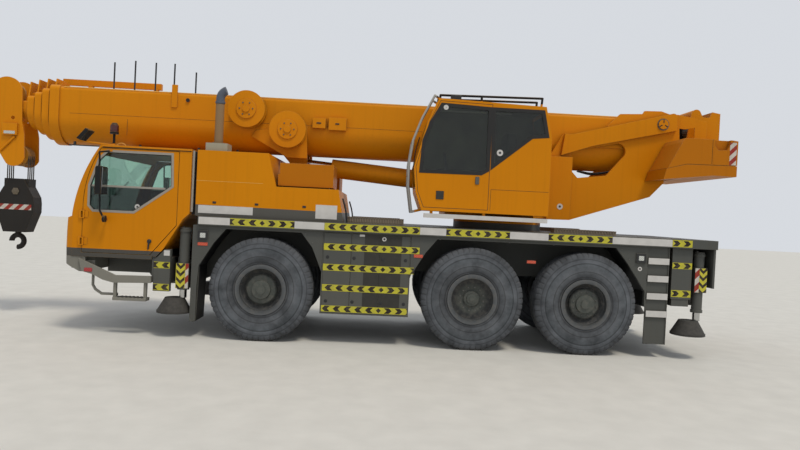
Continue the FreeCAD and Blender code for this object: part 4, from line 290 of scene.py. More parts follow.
def skin(rings, loop=False):
    """Quads between neighbouring rings of an array (rings, sides, 3); the ends are capped, or joined in a loop."""
    rows, sides = rings.shape[:2]
    index = np.arange(rows * sides).reshape(rows, sides)
    here = index if loop else index[:-1]
    there = np.roll(index, -1, axis=0) if loop else index[1:]
    quads = np.stack([here, np.roll(here, -1, axis=1), np.roll(there, -1, axis=1), there], axis=-1)
    caps = [] if loop else [index[0].tolist(), index[-1].tolist()]
    return rings.reshape(-1, 3), quads.reshape(-1, 4).tolist() + caps


def turned(axis, centre, profile, sides=24, loop=False):
    """A profile of (radius, distance along the axis) pairs turned round an axis through centre."""
    rows = np.array(profile, dtype=float)
    angle = np.linspace(0, 2 * np.pi, sides, endpoint=False)
    shape = (len(rows), sides)
    rings = np.stack([rows[:, :1] * np.cos(angle), rows[:, :1] * np.sin(angle),
                      np.broadcast_to(rows[:, 1:], shape)], axis=-1)
    order = {"x": [2, 0, 1], "y": [0, 2, 1], "z": [0, 1, 2]}[axis]
    return skin(rings[..., order] + np.array(centre), loop)


def stud(x, y, z, profile, sides, loop=False):
    """A small turned piece on a face square to y: its profile is (radius, distance outward from the face)."""
    outward = math.copysign(1.0, y)
    return turned("y", (x, y, z), [(radius, out * outward) for radius, out in profile], sides, loop)


def around(radius, count, start=0.0):
    """Points spaced evenly on a circle, as pairs from its centre."""
    angle = start + np.linspace(0, 2 * np.pi, count, endpoint=False)
    return [(radius * math.cos(a), radius * math.sin(a)) for a in angle]


def moulded_tyre(x, y):
    """Tyre: a closed section carried round the axle on a grid of angle and distance round the section.

    Radius falls by the groove depth inside the shoulder notches and the zigzag rain grooves; sidewall bands stand
    proud by a few millimetres, as a sum of smooth steps."""
    lugs, steps, tread_r = 54, 6, 0.74
    angle = np.linspace(0, 2 * np.pi, lugs * steps, endpoint=False)[:, None]
    side_r = np.concatenate([[0.318, 0.345, 0.366], np.linspace(0.384, 0.700, 22), [0.716, 0.729, 0.737]])
    side_y = np.interp(side_r, [0.318, 0.366, 0.378, 0.41, 0.46, 0.55, 0.62, 0.66, 0.698, 0.72, 0.737, 0.74],
                       [0.132, 0.198, 0.207, 0.214, 0.219, 0.22, 0.2165, 0.213, 0.206, 0.194, 0.175, 0.164])
    side_y = side_y + sum(0.5 * (np.tanh((side_r - low) / 0.003) - np.tanh((side_r - high) / 0.003)) * depth
                          for low, high, depth in ((0.40, 0.425, -0.004), (0.470, 0.476, 0.002),
                                                   (0.585, 0.598, -0.003), (0.648, 0.656, -0.003)))
    tread_y = np.linspace(0.160, -0.160, 33)
    section_y = np.concatenate([side_y, tread_y, -side_y[::-1]])[None, :]
    section_r = np.concatenate([side_r, np.full(len(tread_y), tread_r), side_r[::-1]])[None, :]
    on_tread = section_r > tread_r - 0.005
    turn = (angle * lugs / (2 * np.pi)) % 1.0
    zigzag = 0.012 * (np.abs(turn - 0.5) * 4 - 1) * np.sign(section_y)
    notch = (np.abs(turn - 0.5) < 0.13) & (np.abs(section_y) > 0.115) & (section_r > 0.672)
    rain = (np.abs(np.abs(section_y) - 0.055 - zigzag) < 0.0075) & on_tread
    cross = (np.abs(turn - 0.02) < 0.10) & (np.abs(section_y) < 0.05) & on_tread
    radius = section_r - 0.009 * notch - 0.015 * rain - 0.006 * cross
    out = np.broadcast_to(section_y * (1 - 0.03 * notch), radius.shape)
    rings = np.stack([x + radius * np.cos(angle), y + out, AXLE_HEIGHT + radius * np.sin(angle)], axis=-1)
    return skin(np.swapaxes(rings, 0, 1), loop=True)


def axle_rings(tree, place, x, stops):
    """Colours by distance from the axle at x: a ramp whose stops are (metres, sRGB code)."""
    centred = add(tree, "ShaderNodeMapping", {"Vector": place, "Location": (-x, 0, -AXLE_HEIGHT),
                                              "Scale": (1.0, 0.0, 1.0)}).outputs[0]
    reach = add(tree, "ShaderNodeVectorMath", {0: centred}, operation="LENGTH").outputs["Value"]
    rings = add(tree, "ShaderNodeValToRGB", {0: reach})
    elements = rings.color_ramp.elements
    for index, (at, code) in enumerate(stops):
        stop = elements[index] if index < 2 else elements.new(at)
        stop.position = at
        stop.color = linear(code)
    return rings.outputs[0]


def tyre_compound(name, x):
    """Moulded rubber: dust mottled at 120 mm, black where scrubbed, clay and painted shade in the notches, rings
    by radius.
    """
    material, tree, place = blank(name)
    rings = axle_rings(tree, place, x, (
        (0.372, "#8B8E92"), (0.395, "#4C4E50"), (0.412, "#707377"), (0.466, "#7A7D80"), (0.474, "#565859"),
        (0.484, "#7F8286"), (0.580, "#757A7E"), (0.592, "#4D5052"), (0.604, "#808489"), (0.645, "#777A7E"),
        (0.655, "#55585B"), (0.666, "#73767A"), (0.735, "#6A6C6F")))
    tone = remap(tree, noise(tree, place, 5.0, 7.0, 0.6), 0.32, 0.68, 0.0, 1.0)
    colour = mix(tree, 1.0, mix(tree, tone, "#8F9194", "#D6D8DC"), rings, "MULTIPLY")
    # Painted shade with clay: ambient occlusion darkens the tread notches and grooves.
    corners = add(tree, "ShaderNodeAmbientOcclusion", {"Distance": 0.04}, samples=4).outputs["AO"]
    colour = mix(tree, remap(tree, corners, 0.9, 0.45, 0.0, 0.5), colour, "#4B4740")
    return close(material, {"Base Color": colour, "Roughness": 0.85, "Specular IOR Level": 0.3,
                            "Normal": raised(tree, noise(tree, place, 60.0, 4.0), 0.002, 0.5)})


def rim_enamel(name, x):
    """Grey enamel on a pressed rim, with zones by distance from the axle: hub, dark disc, lighter outer ring."""
    material, tree, place = blank(name)
    zones = axle_rings(tree, place, x, (
        (0.0, "#50544F"), (0.19, "#464A46"), (0.228, "#343635"), (0.24, "#2F3131"), (0.288, "#2A2B2C"),
        (0.302, "#46494B"), (0.35, "#585B5E")))
    dust = noise(tree, place, 14.0, 8.0, 0.7)
    return close(material, {"Base Color": mix(tree, remap(tree, dust, 0.45, 0.75, 0.0, 0.45), zones, "#77726A"),
                            "Roughness": 0.55, "Normal": raised(tree, dust, 0.002, 0.3),
                            "Specular IOR Level": 0.35})


def small_finish(name, colour, roughness, metallic=0.0, scale=30.0, depth=0.001, spread=0.2, specular=0.5):
    """A finish for small pieces: mottled over the given number of patches a metre, with a bump to match."""
    material, tree, place = blank(name)
    mottle = noise(tree, place, scale, 5.0)
    shade = remap(tree, mottle, 0.25, 0.75, 1 - spread, 1 + spread)
    return close(material, {"Base Color": mix(tree, 1.0, colour, shade, "MULTIPLY"), "Roughness": roughness,
                            "Metallic": metallic, "Normal": raised(tree, mottle, depth, 0.4),
                            "Specular IOR Level": specular})


nut_steel = small_finish("dusty_forged_nuts", "#5D5D5A", 0.6, metallic=0.3, scale=80)
hub_bolt_black = small_finish("black_oxide_bolts", "#2B2C2C", 0.55, scale=80)
HAND_HOLE_CIRCLE = 0.262
DISC_OUT = 0.093
for axle, x in AXLES.items():
    rim_grey = rim_enamel(axle + "_rim_enamel", x)
    tyre_rubber = tyre_compound(axle + "_tyre_rubber", x)
    bolt_circle, hub_out = (0.118, 0.110) if axle == "front" else (0.172, 0.145)
    for side, sign in SIDES:
        label = "wheel_%s_%s" % (axle, side)
        tyre = put(axle + "_" + side + "_tyre", label, tyre_rubber, moulded_tyre(x, TYRE_MIDDLE * sign), smooth=40)
        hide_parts(label + "_tyre")
        dress(rim_grey, label + "_rim")
        put(label + "_hand_holes", label, hub_bolt_black,
            *[stud(x + dx, (TYRE_MIDDLE + DISC_OUT) * sign, AXLE_HEIGHT + dz,
                   ((0.021, -0.004), (0.021, 0.003), (0.015, 0.003)), 12)
              for dx, dz in around(HAND_HOLE_CIRCLE, 12)])
        put(label + "_hub_bolts", label, nut_steel,
            *[stud(x + dx, (TYRE_MIDDLE + hub_out) * sign, AXLE_HEIGHT + dz,
                   ((0.012, -0.01), (0.012, 0.010), (0.009, 0.013)), 6)
              for dx, dz in around(bolt_circle, 12, 0.2)], smooth=20)

# Axle beams and steering knuckles: cast and fabricated steel, sprayed black and caked with road dirt.
dress(black_enamel, "axle_beams", "engine_block", *nodes("knuckle_"))

# Deck: chequered steel plate on the frame. Its edge carries reflective tape, white with runs of yellow-green
# tape whose black arrows point away from a diamond in the middle of each run.


def inset(outline, width):
    """The same outline drawn in by a width: each corner moves along the miter of its two edges."""
    points = np.array(outline, dtype=float)
    run = np.roll(points, -1, axis=0) - points
    area = np.sum(points[:, 0] * np.roll(points[:, 1], -1) - points[:, 1] * np.roll(points[:, 0], -1))
    normal = np.stack([-run[:, 1], run[:, 0]], axis=1) * np.sign(area) / np.linalg.norm(run, axis=1)[:, None]
    before = np.roll(normal, 1, axis=0)
    return points + width * (normal + before) / (1 + np.sum(normal * before, axis=1))[:, None]


def prism(axis, low, high, outline):
    """An outline in the plane square to an axis, carried straight along it from low to high."""
    flat = np.array(outline, dtype=float)
    return skin(np.stack([np.insert(flat, "xyz".index(axis), value, axis=1) for value in (low, high)]))


def lip(low, high, outline, width):
    """A frame of even width inside an outline: the outline and its inset, carried from low to high along y."""
    outer, inner = np.array(outline, dtype=float), inset(outline, width)
    return skin(np.stack([np.insert(line, 1, at, axis=1) for line, at in
                          ((outer, low), (outer, high), (inner, high), (inner, low))]), loop=True)


def block(x, y, z):
    """A rectangular bar between pairs of x, y and z."""
    return prism("y", y[0], y[1], [(x[0], z[0]), (x[1], z[0]), (x[1], z[1]), (x[0], z[1])])


SUNK = 0.001
LABEL = 0.001
TAPE = 0.0015


def plate(x, y, z, proud=TAPE, sunk=SUNK):
    """A bar on a face square to y: its back is sunk into the face, its front stands proud of it."""
    outward = math.copysign(1.0, y)
    return block(x, (y - sunk * outward, y + proud * outward), z)


def mapped(first, second, start=(0.0, 0.0), scale=1.0):
    """A function from points to UV in metres: two of their coordinates, by number, from a start."""
    return lambda points: (points[:, (first, second)] - start) * scale


def reflective_tape(name, ground, mark, kind, pitch=0.155, half=0.040):
    """Prismatic tape: its mark comes from the distance along and across the tape, read from the piece's UV.

    arrows: black where the remainder of (|along| + |across|) / pitch is near zero, which draws a diamond in the
    middle and arrows away from it. bars: slanting bars by the remainder of (along + across) / pitch."""
    material, tree, place = blank(name)
    flat = add(tree, "ShaderNodeUVMap", uv_map="flat").outputs[0]
    along, across, _ = add(tree, "ShaderNodeSeparateXYZ", {"Vector": flat}).outputs
    black_share = 0.25
    if kind == "arrows":
        along, across = [maths(tree, "ABSOLUTE", value) for value in (along, across)]
        black_share = 0.235
    turns = maths(tree, "DIVIDE", maths(tree, "ADD", along, across), pitch)
    marked = maths(tree, "LESS_THAN", maths(tree, "PINGPONG", turns, 0.5), black_share)
    if kind == "arrows":
        marked = maths(tree, "MULTIPLY", marked, maths(tree, "LESS_THAN", across, half))
    worn = remap(tree, noise(tree, place, 22.0, 7.0, 0.7), 0.42, 0.78, 0.0, 0.5)
    return close(material, {"Base Color": mix(tree, worn, mix(tree, marked, ground, mark), "#77705E"),
                            "Roughness": 0.42, "Specular IOR Level": 0.3})


arrow_tape = reflective_tape("yellow_green_arrow_tape", "#C6BF35", "#231A14", "arrows")
down_tape = reflective_tape("yellow_down_arrow_tape", "#CFC53A", "#2A211A", "arrows", pitch=0.105, half=0.06)
hazard_tape = reflective_tape("red_and_white_tape", "#CFC9C0", "#9A2418", "bars")
white_tape = small_finish("worn_white_tape", "#CBC9C6", 0.5, scale=9, spread=0.08, specular=0.3)


def level_tape(name, x, z, y, middle):
    """A run of arrow tape on an upright face of the carrier, its diamond at the middle."""
    put(name, "carrier", arrow_tape, plate(x, y, z), flat=mapped(0, 2, (middle, sum(z) / 2)))


DECK_EDGE = 1.29
STRIPE = (1.636, 1.738)
ARROW_RUNS = ((1.675, 0.763, 1.22), (0.336, -1.030, -0.525), (-1.410, -2.327, -1.868), (-2.891, -3.823, -3.357),
              (-4.705, -5.000, -4.63))
WHITE_RUNS = ((2.118, 1.677), (0.761, 0.338), (-1.032, -1.408), (-2.329, -2.889), (-3.825, -4.703))
for side, sign in SIDES:
    for index, (front, rear, middle) in enumerate(ARROW_RUNS, 1):
        level_tape("%s_deck_arrows_%d" % (side, index), (rear, front), STRIPE, DECK_EDGE * sign, middle)
    put(side + "_deck_white_tape", "carrier", white_tape,
        *[plate((rear, front), DECK_EDGE * sign, STRIPE) for front, rear in WHITE_RUNS])

# Side lockers: folded sheet boxes with lift-off doors, four rows of arrow tape across them and flush locks.
dress(grey_enamel, "side_lockers")
DOOR_FACE = 1.25
LOCKER_FRONT = 0.335
PANEL_Z = (0.50, 1.592)
LOCKER_RUNS = ((1.350, 1.446, -1.04, -0.53), (1.056, 1.152, -0.97, -0.525), (0.765, 0.858, -0.899, -0.515),
               (0.466, 0.556, -0.899, -0.49))
# The dark plates on the locker doors are painted shade of the recessed door panels; the same dark grey serves the
# crane cab's lock.
dark_grey_and_recess_shade = small_finish("dark_grey_panel_and_recess_shade", "#3B3A37", 0.7, scale=12, spread=0.12, specular=0.25)
moulded_black = small_finish("moulded_black_plastic", "#202122", 0.5, scale=90)
for side, sign in SIDES:
    face = DOOR_FACE * sign
    put(side + "_locker_panels", "carrier", dark_grey_and_recess_shade,
        *[plate(x, face, PANEL_Z, LABEL) for x in ((-0.783, -0.474), (-0.464, -0.248))])
    for index, (low, high, rear, middle) in enumerate(LOCKER_RUNS, 1):
        level_tape("%s_locker_arrows_%d" % (side, index), (rear, LOCKER_FRONT), (low, high),
                   (DOOR_FACE + 0.0005) * sign, middle)
    put(side + "_locker_locks", "carrier", moulded_black,
        *[stud(x, face, z, ((0.024, -0.002), (0.024, 0.003), (0.012, 0.006)), 16)
          for x in (0.275, -0.105, -0.515, -0.845) for z in (0.62, 1.25)])
    put(side + "_locker_worn_label", "carrier", white_tape,
        plate((-0.245, -0.172), face, (1.565, 1.594), LABEL))

# Ring marks: small round white vinyl marks with a dark middle, stuck on by the operator.


def ring_mark(name, body, x, y, z, outer=0.031, inner=0.014):
    """A thin white ring with a dark disc in it on a face square to y."""
    put(name + "_ring", body, white_tape,
        stud(x, y, z, ((inner, -SUNK), (outer, -SUNK), (outer, TAPE), (inner, TAPE)), 24, loop=True))
    put(name + "_middle", body, moulded_black, stud(x, y, z, ((inner, -SUNK), (inner, LABEL)), 16))


for side, sign in SIDES:
    ring_mark(side + "_locker_mark", "carrier", -0.527, DOOR_FACE * sign, 1.542)
    ring_mark(side + "_rear_mark", "carrier", -4.262, DOOR_FACE * sign, 1.290)

# Fenders: grey plates over the wheel arches with black ribbed mudguards behind them, square work lamps,
# reflectors, and a ladder at the rear whose treads carry white grip strips.
BEHIND_PLATE = ((0, -1, 0), -1.188, "#1F2021")
dress(painted_steel("grey_fender_over_black_guards", *GREY, "#5F5C55", SPLASH_TOP, parts_of=(BEHIND_PLATE,)),
      "fenders")


def lens(name, colour, roughness=0.12):
    """Moulded acrylic lens: glossy, with prisms drawn 8 mm apart."""
    material, tree, place = blank(name)
    prisms = add(tree, "ShaderNodeTexWave", {"Vector": place, "Scale": 20.0, "Distortion": 0.0},
                 bands_direction="DIAGONAL").outputs[1]
    tone = remap(tree, prisms, 0.0, 1.0, 0.72, 1.1)
    return close(material, {"Base Color": mix(tree, 1.0, colour, tone, "MULTIPLY"), "Roughness": roughness,
                            "Normal": raised(tree, prisms, 0.001, 0.3), "Coat Weight": 0.6})


clear_lens = lens("clear_lamp_lens", "#C9CCC8")
amber_lens = lens("amber_lamp_lens", "#E07A22")
orange_reflector = lens("orange_red_reflector", "#D2502F", 0.25)
red_lens = lens("red_lamp_lens", "#B0262A")
LAMPS = ((1.984, 1.406), (-4.337, 1.376))
LAMP_SIZE = 0.140
LAMP_FRAME = 1.270
REFLECTORS = (((1.985, 2.125), (1.329, 1.375)), ((-1.09, -0.962), (1.300, 1.345)),
              ((-2.732, -2.602), (1.294, 1.336)))
FENDER_BOLTS = ((1.80, 1.565), (1.90, 1.44), (0.60, 1.565), (0.50, 1.44), (-1.33, 1.58), (-2.33, 1.58),
                (-2.98, 1.58), (-3.98, 1.56), (-4.10, 1.42), (2.16, 0.62), (2.16, 1.05))
TREAD_X = (-4.684, -4.378)
TREAD_LOW = 0.599
TREAD_PITCH = 0.256


def shrunk(low, size, edge):
    """The run from low over a size, drawn in by an edge at both ends."""
    return low + edge, low + size - edge


for side, sign in SIDES:
    put(side + "_lamp_housings", "carrier", moulded_black,
        *[plate(shrunk(x, LAMP_SIZE, 0.002), LAMP_FRAME * sign, shrunk(z, LAMP_SIZE, 0.002), 0.0045, 0.0)
          for x, z in LAMPS], bevel=0.002)
    put(side + "_lamp_lenses", "carrier", clear_lens,
        *[plate(shrunk(x, LAMP_SIZE, 0.032), LAMP_FRAME * sign, shrunk(z, LAMP_SIZE, 0.036), 0.009, -0.003)
          for x, z in LAMPS], bevel=0.002)
    put(side + "_side_reflectors", "carrier", orange_reflector,
        *[plate(x, DOOR_FACE * sign, z, 0.007) for x, z in REFLECTORS], bevel=0.003)
    put(side + "_fender_bolts", "carrier", nut_steel,
        *[stud(x, DOOR_FACE * sign, z, ((0.011, -0.002), (0.011, 0.004), (0.007, 0.006)), 8)
          for x, z in FENDER_BOLTS])
    treads = [(TREAD_LOW + TREAD_PITCH * step, TREAD_LOW + 0.09 + TREAD_PITCH * step) for step in range(4)]
    put(side + "_ladder_grip_strips", "carrier", white_tape,
        *[plate(TREAD_X, 1.263 * sign, z, 0.0035) for z in treads], bevel=0.002)
for label, x, middle, runs in (("tail", (-5.033, -4.744), -4.67, ((1.316, 1.407), (0.904, 1.004))),
                               ("nose", (2.508, 2.734), 2.43, ((0.977, 1.069), (0.662, 0.756)))):
    for index, z in enumerate(runs, 1):
        level_tape("%s_arrows_%d" % (label, index), x, z, 1.24, middle)
put("left_blank_plate", "carrier", white_tape, plate((2.515, 2.598), 1.24, (1.160, 1.236)))

# Outriggers: welded box beams with hydraulic jacks. The jack tubes carry wrapped warning plates, half yellow
# arrows that point down and half red and white, the rods are hard chrome and the foot pads dark cast steel.
cast_iron = small_finish("sand_cast_steel_black", "#2C2B29", 0.75, scale=45, depth=0.003, spread=0.3)
hard_chrome = small_finish("hard_chrome_rod", "#C4C4C2", 0.16, metallic=1.0, scale=10, depth=0.0, spread=0.08)


def pad_and_rod(name, split):
    """One casting and its rod in one node: bright chrome above the split, dark cast steel below it."""
    material, tree, place = blank(name)
    height = add(tree, "ShaderNodeSeparateXYZ", {"Vector": place}).outputs["Z"]
    above = maths(tree, "GREATER_THAN", height, split)
    iron = mix(tree, noise(tree, place, 25.0, 7.0), "#1F1F1E", "#4C4944")
    return close(material, {"Base Color": mix(tree, above, iron, "#BDBDBB"), "Metallic": above,
                            "Roughness": remap(tree, above, 0.0, 1.0, 0.75, 0.18)})


JACK_Y = 1.13
WRAP_FACE = 1.22
WRAP_HALF = 0.088
WRAP_TAPE = 0.002
PAD_FORWARD = 0.115
PAD_TOP = 0.374
jack_finish = pad_and_rod("chrome_rod_over_cast_pad", 0.565)
for end, jack_x, wrap_low, split in (("front", 2.335, 0.70, 2.290), ("rear", -5.185, 0.98, -5.160)):
    low, top = wrap_low + 0.003, wrap_low + 0.357
    rear_half, front_half = (jack_x - WRAP_HALF, split), (split, jack_x + WRAP_HALF)
    if end == "front":
        bars, arrows = rear_half, (split + 0.002, jack_x + WRAP_HALF)
    else:
        bars, arrows = front_half, (jack_x - WRAP_HALF, split - 0.002)
    for side, sign in SIDES:
        beam = "beam_%s_%s" % (end, side)
        dress(jack_finish, "outrigger_jack_%s_%s" % (end, side))
        put(beam + "_down_arrows", beam, down_tape, plate(arrows, WRAP_FACE * sign, (low, top), WRAP_TAPE),
            flat=mapped(2, 0, (top + 0.045, sum(arrows) / 2)))
        put(beam + "_red_white", beam, hazard_tape, plate(bars, WRAP_FACE * sign, (low, top), WRAP_TAPE),
            flat=mapped(2, 0, scale=0.8))
        put(beam + "_hose_fittings", beam, nut_steel,
            turned("z", (jack_x + 0.03, JACK_Y * sign, 1.565), [(0.018, 0), (0.018, 0.02), (0.011, 0.022)], 8))
        put("%s_%s_pad_bolts" % (end, side), "jack_%s_%s" % (end, side), nut_steel,
            *[turned("z", (jack_x + PAD_FORWARD + dx, JACK_Y * sign + dy, PAD_TOP),
                     [(0.013, -0.004), (0.013, 0.008), (0.009, 0.010)], 6) for dx, dy in around(0.20, 4, 0.4)],
            smooth=20)

# Tail: a drop-forged towing coupling with a bright jaw, rear lamp clusters and red and white tape.
forged_steel = small_finish("worn_forged_steel", "#8D8A84", 0.38, metallic=0.85, scale=35, depth=0.002)
put("tow_coupling_jaw", "carrier", forged_steel,
    turned("x", (-5.40, 0, 0.96), [(0.11, 0.02), (0.11, -0.012), (0.075, -0.02), (0.075, -0.13), (0.10, -0.16),
                                   (0.105, -0.19), (0.06, -0.20)]),
    turned("z", (-5.53, 0, 0.96), [(0.024, -0.13), (0.024, 0.15), (0.034, 0.155), (0.034, 0.185)], 16))
LENS_X, LENS_Z = (-5.428, -5.418), (1.09, 1.175)
for side, sign in SIDES:
    y = 0.98 * sign
    put(side + "_tail_lamp_case", "carrier", moulded_black,
        block((-5.42, -5.382), (y - 0.17, y + 0.17), (1.075, 1.19)), bevel=0.008)
    put(side + "_tail_lamp_red", "carrier", red_lens, block(LENS_X, (y - 0.155, y + 0.02), LENS_Z), bevel=0.004)
    put(side + "_tail_lamp_amber", "carrier", amber_lens, block(LENS_X, (y + 0.025, y + 0.155), LENS_Z),
        bevel=0.004)
    put(side + "_tail_red_white", "carrier", hazard_tape,
        block((-5.384, -5.379), (0.30 * sign, 1.20 * sign), (1.33, 1.47)), flat=mapped(1, 2))

# Bumper and steps: bent plate worn bare and silvery along its edge, with a round amber lamp, a red side lamp
# and open steps under each door.
dress(painted_steel("scuffed_silver_grey_plate", "#77766F", "#8A8880", "#A29C8E", SPLASH_TOP, worn="#C9C4B8"),
      "bumper_steps")
for side, sign in SIDES:
    put(side + "_nose_side_lamp", "carrier", red_lens,
        plate((3.577, 3.690), 1.279 * sign, (0.886, 0.940), 0.010), bevel=0.006)
    put(side + "_headlamp_case", "carrier", moulded_black,
        block((3.985, 4.004), (0.60 * sign, 0.98 * sign), (0.90, 1.06)), bevel=0.006)
    put(side + "_headlamp_lenses", "carrier", clear_lens,
        *[turned("x", (4.002, y * sign, 0.98), [(0.055, 0), (0.055, 0.006), (0.02, 0.012)]) for y in (0.70, 0.87)])
    put(side + "_step_grip", "carrier", cast_iron,
        *[block((2.86 + 0.055 * bar, 2.885 + 0.055 * bar), (1.10 * sign, 1.268 * sign), (0.538, 0.545))
          for bar in range(7)])

# Driver's cab: pressed and welded sheet in orange with a grey lower band, bonded windows in a light grey frame,
# black seals, mirrors and a raised gutter along each roof edge.
MIRRORS = ((0, 1, 0), 1.285, "#232425")
ROOF_LAMPS = ((0, 0, 1), 2.742, "#232425")
dress(painted_steel("orange_cab_with_grey_band", *ORANGE, band=(1.214, 0.0, "#514F4B"), worn=RUBBED_ORANGE,
                    parts_of=(MIRRORS, ROOF_LAMPS)), "driver_cab_shell", "door_left", "door_right")


def cab_glass(name, tint, film_top=-9.0, film=None):
    """Laminated safety glass: tinted and see-through, with a darker film stuck on up to film_top."""
    material, tree, place = blank(name)
    height = add(tree, "ShaderNodeSeparateXYZ", {"Vector": place}).outputs["Z"]
    colour = mix(tree, maths(tree, "LESS_THAN", height, film_top), tint, film or tint)
    rough = remap(tree, noise(tree, place, 4.0, 6.0), 0.0, 1.0, 0.0, 0.01)
    return close(material, {"Base Color": colour, "Roughness": rough, "Transmission Weight": 1.0, "IOR": 1.45})


smoke_glass = cab_glass("smoke_grey_glass", "#A6AEA0")
dress(cab_glass("teal_laminated_glass", "#C6E0D3"), "driver_cab_glass")
dress(cab_glass("teal_door_glass_with_film", "#C6E0D3", 2.10, "#4A5450"), "door_glass_left", "door_glass_right")
window_trim = small_finish("light_grey_window_frame", "#9C968D", 0.5, scale=40, spread=0.08, specular=0.3)
# This black serves the seals and slots, and also the painted shadow strip under each roof gutter.
black_seal_and_shadow = small_finish("black_seal_and_painted_shadow", "#1B1B1B", 0.7, scale=60)
DOOR_WINDOW = [(3.050, 1.765), (3.610, 1.765), (3.668, 1.830), (3.668, 2.110), (3.545, 2.480), (3.440, 2.590),
               (2.545, 2.590), (2.528, 2.150), (2.590, 2.100)]


def tube(points, radius, sides=12):
    """A circle carried along a path, each ring square to the path there; ends closed."""
    path = np.array(points, dtype=float)
    run = np.gradient(path, axis=0)
    run /= np.linalg.norm(run, axis=1)[:, None]
    side = np.cross(run, (0.31, 0.52, 0.79))
    side /= np.linalg.norm(side, axis=1)[:, None]
    over = np.cross(run, side)
    angle = np.linspace(0, 2 * np.pi, sides, endpoint=False)[None, :, None]
    width = np.broadcast_to(radius, len(path))[:, None, None]
    return skin(path[:, None] + width * (np.cos(angle) * side[:, None] + np.sin(angle) * over[:, None]))


def eased(points, cut=0.05, steps=6):
    """A path whose corners are parabolas: each leaves its run a cut before the corner and joins the next after."""
    path = np.array(points, dtype=float)
    share = np.linspace(0, 1, steps)[:, None]
    runs = [path[:1]]
    for before, corner, after in zip(path[:-2], path[1:-1], path[2:]):
        start = corner + (before - corner) * min(0.45, cut / np.linalg.norm(before - corner))
        stop = corner + (after - corner) * min(0.45, cut / np.linalg.norm(after - corner))
        runs.append((1 - share) ** 2 * start + 2 * share * (1 - share) * corner + share ** 2 * stop)
    return np.concatenate(runs + [path[-1:]])


for side, sign in SIDES:
    door = "door_" + side
    put(door + "_window_frame", door, window_trim,
        lip(1.246 * sign, 1.2535 * sign, inset(DOOR_WINDOW, -0.030), 0.034), bevel=0.002)
    put(door + "_window_seal", door, black_seal_and_shadow,
        lip(1.228 * sign, 1.249 * sign, inset(DOOR_WINDOW, -0.001), 0.012))
    put(door + "_window_bar", door, window_trim,
        plate((2.62, 3.664), 1.220 * sign, (2.094, 2.122), 0.013), bevel=0.002)
    put(door + "_handle", door, moulded_black,
        stud(2.808, DOOR_FACE * sign, 1.352, ((0.030, 0), (0.030, 0.010), (0.018, 0.018)), 20),
        tube([(2.808, 1.262 * sign, 1.34), (2.814, 1.266 * sign, 1.29), (2.818, 1.262 * sign, 1.236)],
             [0.012, 0.011, 0.009]))
    ring_mark(door + "_mark", door, 3.005, 1.227 * sign, 1.835, 0.036, 0.014)
    put(door + "_mirror_glass", door, hard_chrome,
        block((3.376, 3.3795), (1.375 * sign, 1.565 * sign), (2.0, 2.355)))
    put(side + "_corner_lamp", "carrier", amber_lens,
        stud(3.905, 1.178 * sign, 0.992, ((0.036, 0), (0.036, 0.014), (0.018, 0.022)), 20))
    # A painted shadow: a dark strip under the roof gutter along the cab side.
    put(side + "_roof_gutter_shadow", "carrier", black_seal_and_shadow,
        plate((2.27, 3.515), 1.2485 * sign, (2.650, 2.663), 0.002))

put("beacon_dome", "carrier", small_finish("dark_red_beacon", "#4A1F1D", 0.25, scale=20),
    turned("z", (3.50, 0.90, 2.905), [(0.059, 0.0), (0.0605, 0.012), (0.0605, 0.095), (0.055, 0.107),
                                      (0.03, 0.112)], 28), smooth=40)
# This light yellow serves the roof loop and also the painted highlight lines on the hood and along the boom's top
# edges.
yellow_rod_and_highlight = small_finish("light_yellow_rod_and_painted_highlight", "#E4B85E", 0.45, scale=30, spread=0.1)
put("roof_loop", "carrier", yellow_rod_and_highlight,
    tube(eased([(x, 0.9, z) for x, z in ((3.454, 2.688), (3.448, 2.735), (3.39, 2.757), (3.332, 2.735),
                                         (3.325, 2.688))], 0.04), 0.0055, 8))
put("screen_wipers", "carrier", moulded_black,
    *[tube(eased([(3.985, y, 1.66), (3.93, y - 0.15, 1.95), (3.78, y - 0.42, 2.23)]), 0.008, 8)
      for y in (0.75, -0.05)])

# Inside the cab: dark moulded dashboard and trim; the seats are foam cushions under woven cloth, which the CAD
# has as plain blocks.
cab_plastic = small_finish("grained_dark_cab_plastic", "#29292B", 0.65, scale=120, depth=0.001)
cloth = small_finish("woven_seat_cloth", "#2A2A2C", 0.92, scale=220, depth=0.001, spread=0.3)
dress(cab_plastic, "driver_cab_interior", "crane_cab_seat")


def cushion(name, body, centre, size):
    """A stuffed pad: a superellipsoid of twelfth power on a box grid, swollen by cos by cos by cos of its place.

    It is scaled to fill its size, so it covers the plain block under it up to the corners."""
    count, power, swell, fall = 13, 12.0, 0.075, 1.2
    u = np.linspace(-1, 1, count)
    grid = np.stack(np.meshgrid(u, u, indexing="ij"), axis=-1).reshape(-1, 2)
    quad = np.arange(count * count).reshape(count, count)
    quads = np.stack([quad[:-1, :-1], quad[1:, :-1], quad[1:, 1:], quad[:-1, 1:]], axis=-1).reshape(-1, 4)
    shells, faces = [], []
    for at in range(3):
        for way in (-1.0, 1.0):
            faces += (quads + len(shells) * count * count).tolist()
            shells.append(np.insert(grid, at, way, axis=1))
    box = np.concatenate(shells)
    rounded = box / np.sum(np.abs(box) ** power, axis=1)[:, None] ** (1 / power)
    points = rounded * (1 + swell * np.prod(np.cos(rounded * fall), axis=1)[:, None])
    points = points / np.max(np.abs(points)) * np.array(size) / 2 + np.array(centre)
    piece = put(name, body, cloth, (points, faces), smooth=180)
    joined = bmesh.new()
    joined.from_mesh(piece.data)
    bmesh.ops.remove_doubles(joined, verts=joined.verts, dist=0.0004)
    bmesh.ops.recalc_face_normals(joined, faces=joined.faces)
    joined.to_mesh(piece.data)
    joined.free()


